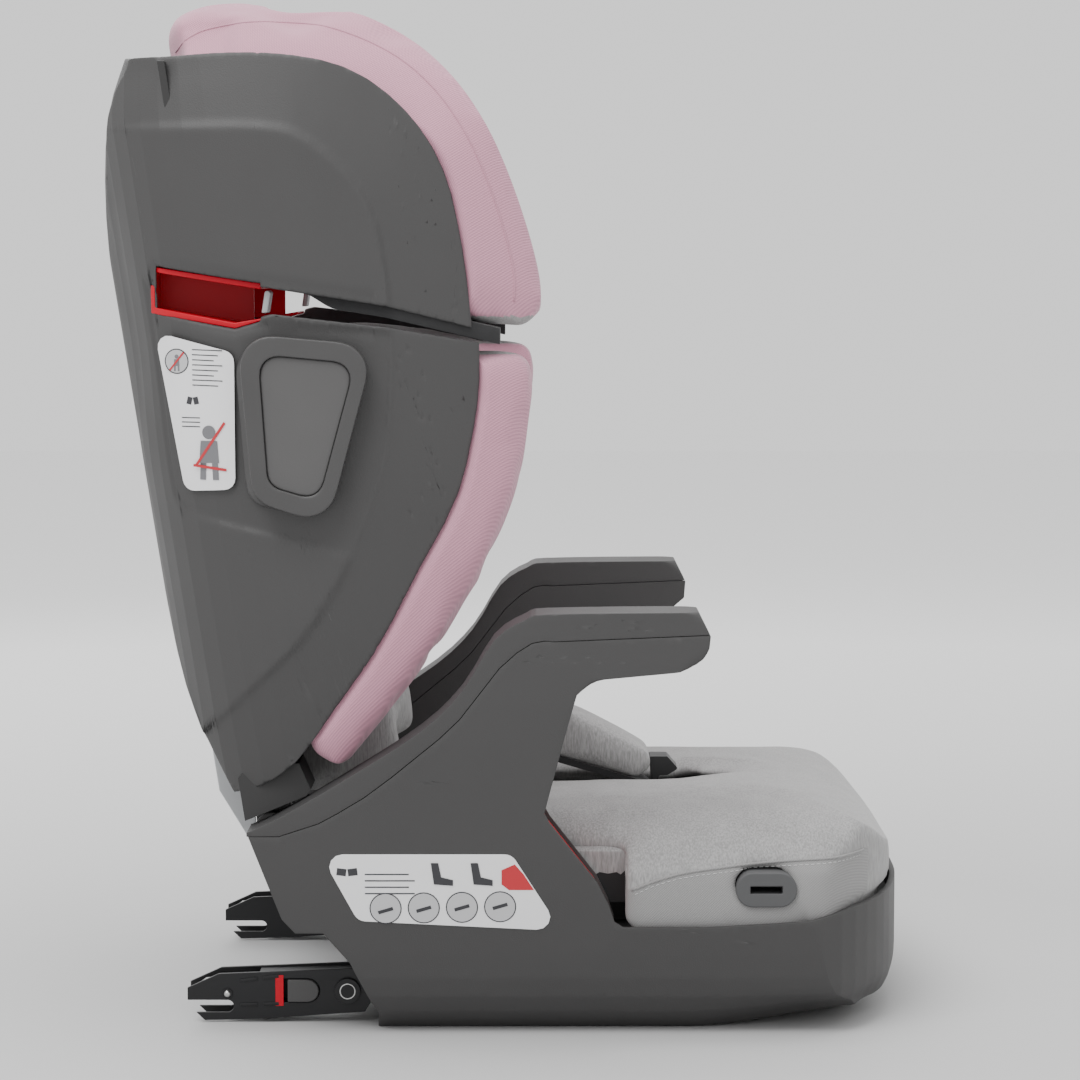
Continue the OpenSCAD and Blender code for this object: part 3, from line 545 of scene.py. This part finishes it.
def inside(points, outline):
    """Signed distance to a closed outline, positive inside."""
    ring = np.vstack([outline, outline[:1]])
    dist = np.abs(line_distance(points, ring))
    x, y = np.asarray(points, float).T
    within = np.zeros(len(x), bool)
    for (x0, y0), (x1, y1) in zip(ring[:-1], ring[1:]):
        within ^= ((y0 > y) != (y1 > y)) & (x < (x1 - x0) * (y - y0) / (y1 - y0 + 1e-12) + x0)
    return np.where(within, dist, -dist)


def size(name):
    """A size from the panel, without the single precision that it is stored in."""
    return round(getattr(bpy.context.scene.booster_values, name), 4)


def wing_styled(xyz, surface=True):
    """Draws the wings in beyond the crease; on the shell also adds its dish and the band round its slot."""
    flat = np.c_[-xyz[:, 1], xyz[:, 2]]
    beyond = -line_distance(flat, CREASE)
    side = ease(120, 165, np.abs(xyz[:, 0]))
    inward = size("slope") * np.maximum(beyond, 0) * side
    if surface:
        inward += side * size("step") * ease(-1.5, 3, beyond)
        inward += side * size("dish") * ease(0, 5, inside(flat, DISH)) * ease(2, -2, beyond)
        inward += side * 1.1 * ease(-9, -5, inside(flat, SLOT)) * (flat[:, 0] < -150)
    out = xyz.copy()
    out[:, 0] -= np.sign(xyz[:, 0]) * inward
    near = ease(100, 150, np.abs(xyz[:, 0]))
    back = 6 * ease(380, 480, xyz[:, 2]) + 5 * ease(620, 665, xyz[:, 2])
    out[:, 1] -= back * near * ease(240, 335, xyz[:, 1])
    out[:, 2] -= 4 * near * ease(640, 668, xyz[:, 2]) * ease(200, 320, xyz[:, 1])
    return out


def recessed(xyz):
    """Sets the belt guide back from the shell's face."""
    out = xyz.copy()
    out[:, 0] -= np.sign(xyz[:, 0]) * size("recess") * ease(150, 185, np.abs(xyz[:, 0]))
    return out


def pod_place(xyz):
    """Sets the side pod a little forward and up, where it lies in the dish."""
    return xyz + np.array([0, -5.5, 3.5]) * ease(205, 212, np.abs(xyz[:, 0]))[:, None]


def mesh_deepened(xyz):
    """Lets the lining under the headrest's wings hang down over the belt slot's front half."""
    middle = np.interp(-xyz[:, 1], [-200, -142, -66], [510.5, 501.0, 482.5])
    out = wing_styled(xyz, False)
    out[:, 2] -= np.where(xyz[:, 2] < middle, 8.0 * ease(-200, -175, -xyz[:, 1]), 0)
    return out


def swelled(rim, far=5.0):
    """Styles a pad's points and pushes those near its rim outwards, so that it fills its outline."""
    def change(xyz):
        out = wing_styled(xyz, False)
        flat = np.c_[-out[:, 1], out[:, 2]]
        depth, at = nearest_on(flat, rim)
        away = at - flat
        size = np.maximum(np.linalg.norm(away, axis=1), 1e-6)
        step = far * ease(20, 6, depth) * ease(60, 100, np.abs(out[:, 0]))
        flat += away / size[:, None] * (np.sign(depth) * step)[:, None]
        out[:, 1], out[:, 2] = -flat[:, 0], flat[:, 1]
        return out
    return change


def two_tone(piece, material, test):
    """Gives a second finish to the faces whose centres [x, forward, up] pass the test."""
    piece.data.materials.append(material)
    centres = np.empty(len(piece.data.polygons) * 3)
    piece.data.polygons.foreach_get("center", centres)
    centres = centres.reshape(-1, 3) / MM * np.array([1, -1, 1])
    piece.data.polygons.foreach_set("material_index", test(centres).astype(int))
    return piece


def build_wings(c):
    """Shells, rear cover, belt guides, gates, pods, headrest lining, runners and the height handle."""
    for side, word in SIDES:
        dressed(f"wing_shell_{word}", LOOK["shell"], None, 2, 4, wing_styled, smoothing=4)
        guide = dressed(f"belt_guide_{word}", LOOK["red"], 0.8, change=recessed)
        back = prism("guide_back", [(-300, 498), (-246, 487.5), (-236, 489), (-236, 511.5), (-300, 522)],
                     side * 138, side * 141)
        back.data.materials.append(LOOK["red"])
        named(join("guide", [guide, back]), f"belt_guide_{word}_look")
        dressed(f"belt_gate_{word}", LOOK["pale"], 0.8)
        dressed(f"pod_ring_{word}", LOOK["pod"], 2.2, 3, 3.5, pod_place, smoothing=7)
        dressed(f"pod_face_{word}", LOOK["pod_face"], 1.2, 3, 3.5, pod_place, smoothing=3)
    dressed("wing_rear_cover", LOOK["shell"], 1.2)
    dressed("carriage_plate", LOOK["dark"], 0.6)
    dressed("slide_runners", LOOK["dark"], 0.8)
    dressed("headrest_mesh", LOOK["lining"], 0.4, 2, 6, mesh_deepened)
    dressed("height_handle", LOOK["red"], 2.5, 4)
    dressed("handle_spring", LOOK["steel"], 0.2)
    dressed("lock_pin", LOOK["steel"], 0.4)


def bowl(xyz):
    """Rounds the base's lower front up into a bowl."""
    front = ease(60, 190, -xyz[:, 1])
    low = ease(34, 0, xyz[:, 2])
    wide = ease(90, 165, np.abs(xyz[:, 0]))
    out = xyz.copy()
    out[:, 2] += 13 * front * low * wide
    out[:, 0] -= np.sign(xyz[:, 0]) * 8 * front * low * wide
    out[:, 1] += 8 * ease(150, 215, -xyz[:, 1]) * low
    return out


def tip_of_arm(xyz):
    """Points of the armrests' front ends, away from their parting line."""
    u, z = -xyz[:, 1], xyz[:, 2]
    return (u > -30) & (z > 238) & (np.abs(xyz[:, 0]) > 165) & (np.abs(z - 278) > 3)


def grommet_flange(xyz):
    """Widens the rubber's flange over the edge of the cloth round it, and leaves its slot."""
    off = (xyz - GROMMET) * np.array([0, 1, 1])
    far = np.hypot(off[:, 1], off[:, 2] * 1.6)
    return xyz + off * (0.2 * ease(13, 16, far))[:, None]


def build_base(c):
    """The base shell with its caps, liners, guides and underside fittings."""
    dressed("base_shell", LOOK["shell"], 1.8, 2, 6, bowl, soften=(tip_of_arm, 26))
    for side, word in SIDES:
        dressed(f"armrest_cap_{word}", LOOK["shell"], 2.5, 3, 5, soften=(tip_of_arm, 26))
        dressed(f"armrest_liner_{word}", LOOK["shell"], 1.0)
        dressed(f"lap_belt_guide_{word}", LOOK["red"], 0.8)
        dressed(f"cup_grommet_{word}", LOOK["rubber"], 0.8, 3, change=grommet_flange)
    dressed("base_deck", LOOK["dark"], 0.8)
    dressed("rear_base_cover", LOOK["pale"], 0.6)
    dressed("recline_brackets", LOOK["dark"], 0.8)
    dressed("recline_rod", LOOK["steel"], 0.8)
    dressed("strap_anchor", LOOK["dark"], 0.8)
    dressed("grip_feet", LOOK["rubber"], 0.6)
    dressed("base_screws", LOOK["steel"], 0.3)


def build_back(c):
    """The spine, its rear panel, rack, board and lower pad."""
    dressed("back_frame", LOOK["dark"], 1.2)
    dressed("back_rear_panel", LOOK["pale"], 1.2)
    dressed("height_rack", LOOK["steel"], 0.4)
    dressed("back_board", LOOK["grey"], 2.0, 4)


def tucked(shell, outline, margin=4.8, edge=3.0):
    """Keeps pad points behind a wing shell where it covers them, lets them swell past its edge,
    and draws the pad's rim to its outline [forward, up], which runs from the rear top to the front foot."""
    def change(xyz):
        out = xyz.copy()
        flat = np.c_[-xyz[:, 1], xyz[:, 2]]
        beyond, at = nearest_on(flat, SHELL_EDGE)
        beyond = -beyond
        inward = WING_MIDDLE - at
        inward = inward * (edge / np.linalg.norm(inward, axis=1))[:, None]
        probe = np.where((beyond > -edge)[:, None], at + inward, flat)
        room = inside(flat, GUIDE_ROOM) > -3
        for k in np.nonzero(np.abs(xyz[:, 0]) > 110)[0]:
            side = 1 if xyz[k, 0] > 0 else -1
            start = Vector((side * 0.3, -probe[k, 0] * MM, probe[k, 1] * MM))
            hit, spot, _, _ = shell[side].ray_cast(start, Vector((-side, 0, 0)))
            limit = abs(spot.x) / MM - margin + 0.9 * max(beyond[k], 0) if hit else 1e9
            if room[k]:
                limit = min(limit, 134)
            if abs(out[k, 0]) > limit:
                out[k, 0] = side * limit
        over, rim = nearest_on(flat, outline)
        over = -over
        near = over > -2
        pull = np.clip((over + 2) / 2, 0, 1)[:, None]
        flat = np.where(near[:, None], flat * (1 - pull) + rim * pull, flat)
        out[:, 1], out[:, 2] = -flat[:, 0], flat[:, 1]
        return out
    return change


def pad(node, material, voxel=5.0, rounds=6, pressure=4.0, cap=5.0, before=None, after=None):
    """A sewn pad over a CAD node: remeshed, filled by cloth pressure, smoothed and divided once."""
    piece = copy_of(node, node + "_look", voxel, rounds)
    if before:
        set_coords(piece, before(coords(piece)))
    inflate(piece, pressure, cap)
    modify(piece, "SMOOTH", factor=0.5, iterations=6)
    modify(piece, "SUBSURF", levels=1, render_levels=1)
    if after:
        set_coords(piece, after(coords(piece)))
    smooth(piece)
    shown_for(piece, BODY[node], material, node)
    return piece


HEAD_TOP = [(-304, 688), (-280, 704), (-237, 710), (-188, 707), (-139, 688), (-103, 660), (-75, 621),
            (-54, 572), (-40, 522), (-39, 494)]
HEAD_RIM = curve([(-330, 660), (-311, 677), *HEAD_TOP, (-47, 484)], 6)
TORSO_RIM = curve([(-60, 478), (-44, 466), (-43, 453), (-46, 426), (-54, 377), (-75, 322), (-88, 301),
                   (-109, 266), (-140, 225), (-165, 194), (-175, 180)], 6)
SHELL_EDGE = np.vstack([
    curve([(-329, 669), (-228, 669), (-170, 659), (-130, 631), (-104, 591), (-91, 537), (-85, 486)], 6),
    curve([(-80, 474), (-81, 434), (-94, 373), (-122, 319), (-149, 268), (-176, 229), (-205, 189),
           (-228, 172)], 6)])
GUIDE_ROOM = np.array([(-306, 530), (-306, 490), (-244, 481), (-222, 486), (-222, 518)], float)
WING_MIDDLE = np.array([-250.0, 470.0])
HEAD_MIDDLE = np.array([-190.0, 560.0])
GROMMET = np.array([0, -116, 101])


def build_pads(c):
    """Headrest, torso, centre and lower back pads."""
    shells = {side: bpy.data.objects[f"wing_shell_{word}_look"] for side, word in SIDES}
    head = pad("headrest_pad", LOOK["rose"], rounds=5, before=swelled(HEAD_RIM, 6),
               after=tucked(shells, HEAD_RIM))
    two_tone(head, LOOK["grey"], lambda p: p[:, 2] < 492)
    for side, word in SIDES:
        bolster = pad(f"torso_pad_{word}", LOOK["rose"], before=swelled(TORSO_RIM, 2),
                      after=tucked(shells, TORSO_RIM))
        two_tone(bolster, LOOK["grey"], lambda p: p[:, 2] > 466)
    pad("centre_pad", LOOK["grey"])
    pad("lower_back_pad", LOOK["grey"])


CUSHION_TOP = curve([(-180, 157), (-60, 156), (38, 154), (78, 157), (104, 158), (137, 156), (167, 149),
                     (189, 138), (204, 123), (215, 109), (220, 90), (219, 70)], 6)


def cushion_tucked(xyz):
    """Draws the cushion's hem down behind the base's rim and holds its top to its outline."""
    out = xyz.copy()
    hem = ease(112, 90, xyz[:, 2]) * ease(12, 30, -xyz[:, 1])
    aside, above = (xyz - GROMMET)[:, 1:].T
    round_grommet = np.maximum(hem * ease(20, 34, np.hypot(aside, above)), ease(92, 88, xyz[:, 2]))
    hem = np.where(np.abs(aside) < 30, round_grommet, hem)
    out[:, 2] -= (12 + 7 * ease(130, 190, -xyz[:, 1])) * hem
    low = ease(92, 84, out[:, 2])
    wide = np.abs(out[:, 0])
    held = np.sign(out[:, 0]) * np.minimum(wide, 200 - 6 * low)
    out[:, 0] = np.where(wide > 150, held, out[:, 0])
    front = ease(150, 200, -out[:, 1]) * low
    out[:, 1] += 6 * front
    flat = np.c_[-out[:, 1], out[:, 2]]
    over, rim = nearest_on(flat, CUSHION_TOP)
    pull = np.clip(1 - over, 0, 1)[:, None]
    flat = flat * (1 - pull) + rim * pull
    out[:, 1], out[:, 2] = -flat[:, 0], flat[:, 1]
    return out


def foam_sunk(xyz):
    """Keeps the foam's top clear under the filled cushion."""
    return xyz - np.array([0, 0, 6]) * ease(125, 140, xyz[:, 2])[:, None]


def build_seat(c):
    """Cushion, foam, crotch strap."""
    pad("seat_cushion", LOOK["grey"], 5.0, 5, 3.0, 4.0, after=cushion_tucked)
    two_tone(bpy.data.objects["seat_cushion_look"], LOOK["band"], lambda p: (np.abs(p[:, 0]) > 150) & (
        p[:, 2] < np.interp(p[:, 1], [24, 42, 69, 130, 185], [100, 107, 113, 119, 123])))
    foam = dressed("seat_foam", LOOK["lining"], 2.0, split=6, change=foam_sunk)
    two_tone(foam, LOOK["grey"], lambda p: (p[:, 2] > 108) & (p[:, 1] < 30))
    pad("lap_strap_pad", LOOK["grey"], 2.6, 3, 3.0, 2.0)
    dressed("strap_webbing", LOOK["webbing"], 0.3)
    dressed("strap_clip", LOOK["black"], 0.8, 3, change=lambda v: v + np.array([0, 3, -6]))


def build_latches(c):
    """Crossbar, connectors, housings, jaws and release buttons."""
    dressed("latch_crossbar", LOOK["steel_black"], 0.8)
    for side, word in SIDES:
        dressed(f"latch_arm_{word}", LOOK["steel_black"], 0.5)
        dressed(f"latch_housing_{word}", LOOK["black"], 0.8)
        dressed(f"latch_jaw_{word}", LOOK["steel"], 0.5)
        dressed(f"release_button_{word}", LOOK["pod"], 1.0, 3)


# ---- seams, bindings and prints ----

def ring(centre, radius, count=28):
    a = np.linspace(0, 2 * math.pi, count, endpoint=False)
    return np.c_[centre[0] + radius * np.cos(a), centre[1] + radius * np.sin(a)]


def bar(p, q, width):
    """A straight stroke from p to q."""
    p, q = np.array(p, float), np.array(q, float)
    n = np.array([-(q - p)[1], (q - p)[0]]) / np.linalg.norm(q - p) * width / 2
    return np.array([p + n, q + n, q - n, p - n])


def printed(name, shapes, on, side, material, body, lift=0.06, thick=0.12):
    """Flat shapes printed on a label: each lies on the label's own surface."""
    parts = []
    for k, shape in enumerate(shapes):
        middle = np.mean(shape, axis=0)
        start = Vector((side * 0.4, -middle[0] * MM, middle[1] * MM))
        hit, at, normal, _ = on.ray_cast(start, Vector((-side, 0, 0)))
        if not hit:
            continue
        part = prism(f"{name}_{k}", shape, 0, side * thick)
        xyz = coords(part)
        rise = -(normal.y * (xyz[:, 1] + middle[0]) + normal.z * (xyz[:, 2] - middle[1])) / normal.x
        xyz[:, 0] += at.x / MM + rise + side * lift
        set_coords(part, xyz)
        parts.append(part)
    return shown_for(join(name, parts), body, material)


def book(x, z, w):
    """Open manual sign."""
    return [bar((x - w, z), (x - 0.6, z - 0.8), 5), bar((x + 0.6, z - 0.8), (x + w, z), 5)]


def seated_figure(x, z, k):
    """A child's figure: head, body, legs."""
    body = np.array([(x - 5 * k, z + 4 * k), (x + 5 * k, z + 4 * k), (x + 6 * k, z - 9 * k),
                     (x - 6 * k, z - 9 * k)])
    legs = [bar((x + s * 3.5 * k, z - 9 * k), (x + s * 4 * k, z - 19 * k), 3.6 * k) for s in (-1, 1)]
    return [ring((x, z + 9 * k), 4 * k), body, *legs]


def build_labels(c):
    """Printed labels with plain pictograms: no words, codes or marks."""
    panel = dressed("base_labels", LOOK["label"], 0.05)
    wing = dressed("wing_labels", LOOK["label"], 0.05)
    ink, red = LOOK["ink"], LOOK["ink_red"]
    dials = [(x, 90 + 0.4 * k) for k, x in enumerate((-144, -118, -92, -66))]
    rule = [bar((-158, 114 - 4.5 * r), (-128 + 4 * (r % 2), 114 - 4.5 * r), 0.9) for r in range(4)]
    marks = [bar((x - 5, 87 + k), (x + 5, 90 + k), 2.4) for k, (x, _) in enumerate(dials)]
    seats = [np.array([(x, 122), (x + 5, 122), (x + 7, 112), (x + 15, 110), (x + 15, 106), (x + 2, 107)])
             for x in (-113, -86)]
    tag = np.array([(-56, 121), (-50, 114), (-43, 103), (-60, 103), (-65, 107), (-65, 117)])
    lines = [bar((-273, 470 - 3.4 * r), (-252 - 3 * (r % 3), 469.4 - 3.4 * r), 0.7) for r in range(8)]
    lines += [bar((-281, 424 - 3 * r), (-268, 424 - 3 * r), 0.7) for r in range(3)]
    spot = (-284, 462)
    belts = [bar((-271, 392), (-251, 421), 1.8), bar((-273, 392), (-250, 389), 1.8),
             bar((-289, 456), (-279, 468), 1.2)]
    for side, word in SIDES:
        printed(f"panel_print_{word}", rule + book(-170, 116, 7) + [ring(at, 11) for at in dials],
                panel, side, ink, "base")
        printed(f"panel_dial_{word}", [ring(at, 10.2) for at in dials], panel, side,
                LOOK["print_grey"], "base", 0.2)
        printed(f"panel_marks_{word}", marks + seats, panel, side, ink, "base", 0.34)
        printed(f"panel_tag_{word}", [tag], panel, side, red, "base", 0.1)
        printed(f"wing_print_{word}", lines + book(-273, 436, 4) + [ring(spot, 8.6)], wing, side, ink,
                "wings")
        printed(f"wing_dial_{word}", [ring(spot, 7.8)], wing, side, LOOK["print_grey"], "wings", 0.2)
        printed(f"wing_figure_{word}", seated_figure(-262, 404, 1.15) + seated_figure(*spot, 0.35),
                wing, side, LOOK["print_dark"], "wings", 0.34)
        printed(f"wing_belts_{word}", belts, wing, side, red, "wings", 0.5)


def build_seams(c):
    """Piping, bindings and stitching, laid on the finished pads."""
    head = bpy.data.objects["headrest_pad_look"]
    inner = HEAD_MIDDLE + (curve(HEAD_TOP, 8) - HEAD_MIDDLE) * 0.885
    for side, word in SIDES:
        line = laid_on(head, spread(inner, 90), side, -0.1)
        if len(line) > 8:
            tube(f"head_seam_{word}", [line], 0.7, LOOK["rose_edge"], "wings")
        bolster = bpy.data.objects[f"torso_pad_{word}_look"]
        low = laid_on(bolster, spread([(-214, 196), (-196, 190), (-180, 185), (-172, 187)], 12), side, 0.4)
        if len(low) > 3:
            tube(f"torso_binding_{word}", [low], 2.6, LOOK["knit"], "wings")
    cushion = bpy.data.objects["seat_cushion_look"]
    piping = spread(curve([(24, 100), (42, 107), (69, 113), (130, 119), (185, 123)], 8), 60)
    stitching = spread(curve([(26, 97), (42, 104), (69, 110), (130, 116), (183, 120)], 8), 60)
    for side, word in SIDES:
        seam = laid_on(cushion, piping, side, 0.2)
        if len(seam) > 8:
            tube(f"cushion_piping_{word}", [seam], 0.9, LOOK["band"], "base")
            stitches(f"cushion_stitch_{word}", laid_on(cushion, stitching, side, 0.2),
                     LOOK["thread_grey"], "base")


CONNECTOR_FACE = 152.2
RIB_ENDS = (((-248, 12), (-236, 12.4)), ((-232, 12.5), (-221, 12.9)),
            ((-248, 29), (-236, 30.5)), ((-232, 31), (-221, 32.4)))


def build_fittings(c):
    """Rivets, ribs, ringed bolts and the red indicator strips of the connectors."""
    for side, word in SIDES:
        body = f"connector_{word}"
        face = side * CONNECTOR_FACE
        parts = []
        for at, radius, rise in (((-257, 20), 3.6, 1.2), ((-173, 22), 7.0, 2.0)):
            clear_selection()
            bpy.ops.mesh.primitive_cylinder_add(vertices=40, radius=radius * MM, depth=rise * MM * 2,
                                                location=(face * MM, -at[0] * MM, at[1] * MM),
                                                rotation=(0, math.radians(90), 0))
            bpy.ops.object.transform_apply(location=True, rotation=True, scale=True)
            parts.append(bevel(bpy.context.object, 0.6, 2))
        heads = join(f"connector_rivets_{word}", parts)
        smooth(heads, 30)
        shown_for(heads, body, LOOK["steel_black"], slot="black_steel")
        clear_selection()
        bpy.ops.mesh.primitive_torus_add(major_radius=5.2 * MM, minor_radius=0.9 * MM, major_segments=40,
                                         location=((face + side * 2) * MM, 173 * MM, 22 * MM),
                                         rotation=(0, math.radians(90), 0))
        bpy.ops.object.transform_apply(location=True, rotation=True, scale=True)
        bolt = smooth(named(bpy.context.object, f"bolt_ring_{word}"))
        shown_for(bolt, body, LOOK["steel"], slot="bare_steel")
        clear_selection()
        bpy.ops.mesh.primitive_uv_sphere_add(radius=2.6 * MM, segments=24, ring_count=12,
                                             location=((face + side * 0.4) * MM, 257 * MM, 20 * MM))
        bpy.ops.object.transform_apply(location=True, rotation=True, scale=True)
        bright = smooth(named(bpy.context.object, f"rivet_bright_{word}"))
        shown_for(bright, body, LOOK["steel"], slot="bare_steel")
        ribs = [prism(f"rib_{k}", bar(a, b, 2.6), face - side * 0.3, face + side * 0.7)
                for k, (a, b) in enumerate(RIB_ENDS)]
        rib = join(f"connector_ribs_{word}", [bevel(r, 0.6, 2) for r in ribs])
        shown_for(smooth(rib, 30), body, LOOK["steel_black"], slot="black_steel")
        strip = prism(f"release_strip_{word}", [(-223.5, 11.2), (-217.8, 11.2), (-217.8, 33), (-223.5, 33)],
                      face - side * 0.2, face + side * 0.5)
        shown_for(bevel(strip, 0.3, 2), body, LOOK["red"], slot="red_plastic")


CAMERA_PLACE = (-2.4144, 0.03885, 0.5254)
CAMERA_DIP = 4.745
CAMERA_LENS = 109.65
LAMPS = (("key", (-1.3, 0.9, 2.3), 1.2, 40), ("fill", (-2.2, -1.6, 1.4), 1.8, 5),
         ("top", (0.1, 0.1, 2.6), 1.6, 30), ("rear", (1.8, 0.8, 1.6), 1.5, 12))


def build_stage(c):
    """Floor, studio light and camera."""
    clear_selection()
    bpy.ops.mesh.primitive_plane_add(size=14, location=(0, 0, -0.0005))
    floor = named(bpy.context.object, "floor")
    ground, point, put = finish_of("floor_white_painted_shade", (0.8, 0.8, 0.8), 0.6)
    away = point.node("ShaderNodeVectorMath", {0: point}, 1, operation="LENGTH")
    # painted shade: the floor's colour darkens from 0.95 far off to 0.55 near the seat, standing in for the
    # seat's shade on it
    put("Base Color", away.ramp(0.5, 2.2).mixed((0.55, 0.55, 0.55), (0.95, 0.95, 0.95)))
    floor.data.materials.append(ground)
    world = bpy.data.worlds.new("studio")
    bpy.context.scene.world = world
    world.use_nodes = True
    world.node_tree.nodes["Background"].inputs["Color"].default_value = (1, 1, 1, 1)
    world.node_tree.nodes["Background"].inputs["Strength"].default_value = 1.1
    for name, place, size, power in LAMPS:
        bpy.ops.object.light_add(type="AREA", location=place)
        lamp = bpy.context.object
        lamp.name = name
        lamp.data.size = size
        lamp.data.energy = power
        toward = Vector((0, 0, 0.35)) - Vector(place)
        lamp.rotation_euler = toward.to_track_quat("-Z", "Y").to_euler()
    bpy.ops.object.camera_add(location=CAMERA_PLACE,
                              rotation=(math.radians(90 - CAMERA_DIP), 0, math.radians(-90)))
    camera = bpy.context.object
    camera.name = "camera"
    camera.data.lens = CAMERA_LENS
    camera.data.sensor_width = 36
    bpy.context.scene.camera = camera


# ---- the add-on's panel, operators and values ----

class SeatValues(bpy.types.PropertyGroup):
    """Sizes and colours of the visible seat."""
    shell: bpy.props.FloatVectorProperty(name="Shell colour", description="Graphite of the moulded shells",
                                         subtype="COLOR", size=3, default=(0.043, 0.042, 0.042))
    rose: bpy.props.FloatVectorProperty(name="Rose fabric", description="Colour of the twill on the rims",
                                        subtype="COLOR", size=3, default=(0.60, 0.29, 0.38))
    grey: bpy.props.FloatVectorProperty(name="Grey fabric", description="Colour of the heathered weave",
                                        subtype="COLOR", size=3, default=(0.31, 0.307, 0.305))
    slope: bpy.props.FloatProperty(
        name="Rim slope", description="How far the wings draw in per unit of distance beyond their crease",
        default=0.22, min=0, max=0.4)
    step: bpy.props.FloatProperty(
        name="Crease step", description="Step down at the wings' crease, in millimetres",
        default=2.2, min=0, max=4)
    dish: bpy.props.FloatProperty(
        name="Dish depth", description="Depth of the panel round the pod, in millimetres",
        default=2.4, min=0, max=4)
    recess: bpy.props.FloatProperty(
        name="Guide recess", description="How far the belt guide is set back from the shell, in millimetres",
        default=7, min=0, max=12)
    weave: bpy.props.FloatProperty(
        name="Twill pitch", description="Distance between the twill's ribs, in millimetres",
        default=2.2, min=0.8, max=4)


def operator(name, label, build):
    """An operator that makes one group of pieces."""
    def execute(self, context):
        build(context.scene.booster_values)
        return {"FINISHED"}

    return type(f"SEAT_OT_{name}", (bpy.types.Operator,), {
        "__doc__": build.__doc__, "bl_idname": f"seat.{name}", "bl_label": label, "execute": execute})


STEPS = [("finishes", "Make finishes", make_finishes), ("base", "Build base", build_base),
         ("back", "Build back frame", build_back), ("wings", "Build wings", build_wings),
         ("pads", "Build pads", build_pads), ("cushion", "Build seat cushion", build_seat),
         ("latches", "Build latches", build_latches), ("labels", "Print labels", build_labels),
         ("seams", "Lay seams", build_seams), ("fittings", "Add fittings", build_fittings),
         ("stage", "Set stage", build_stage)]
OPERATORS = [operator(*step) for step in STEPS]


class SEAT_PT_panel(bpy.types.Panel):
    """The seat's values and building steps."""
    bl_label = "Booster seat"
    bl_idname = "SEAT_PT_panel"
    bl_space_type = "VIEW_3D"
    bl_region_type = "UI"
    bl_category = "Booster seat"

    def draw(self, context):
        for key in ("shell", "rose", "grey", "slope", "step", "dish", "recess", "weave"):
            self.layout.prop(context.scene.booster_values, key)
        for name, label, _ in STEPS:
            self.layout.operator(f"seat.{name}", text=label)


CLASSES = [SeatValues, *OPERATORS, SEAT_PT_panel]


def register():
    for entry in CLASSES:
        bpy.utils.register_class(entry)
    bpy.types.Scene.booster_values = bpy.props.PointerProperty(type=SeatValues)


def unregister():
    del bpy.types.Scene.booster_values
    for entry in reversed(CLASSES):
        bpy.utils.unregister_class(entry)


def main():
    register()
    for name, nodes in frame["record"]["behaviour"]["bodies"].items():
        BODY.update({node: name for node in nodes})
    for name, _, _ in STEPS:
        getattr(bpy.ops.seat, name)()


if __name__ == "__main__":
    main()
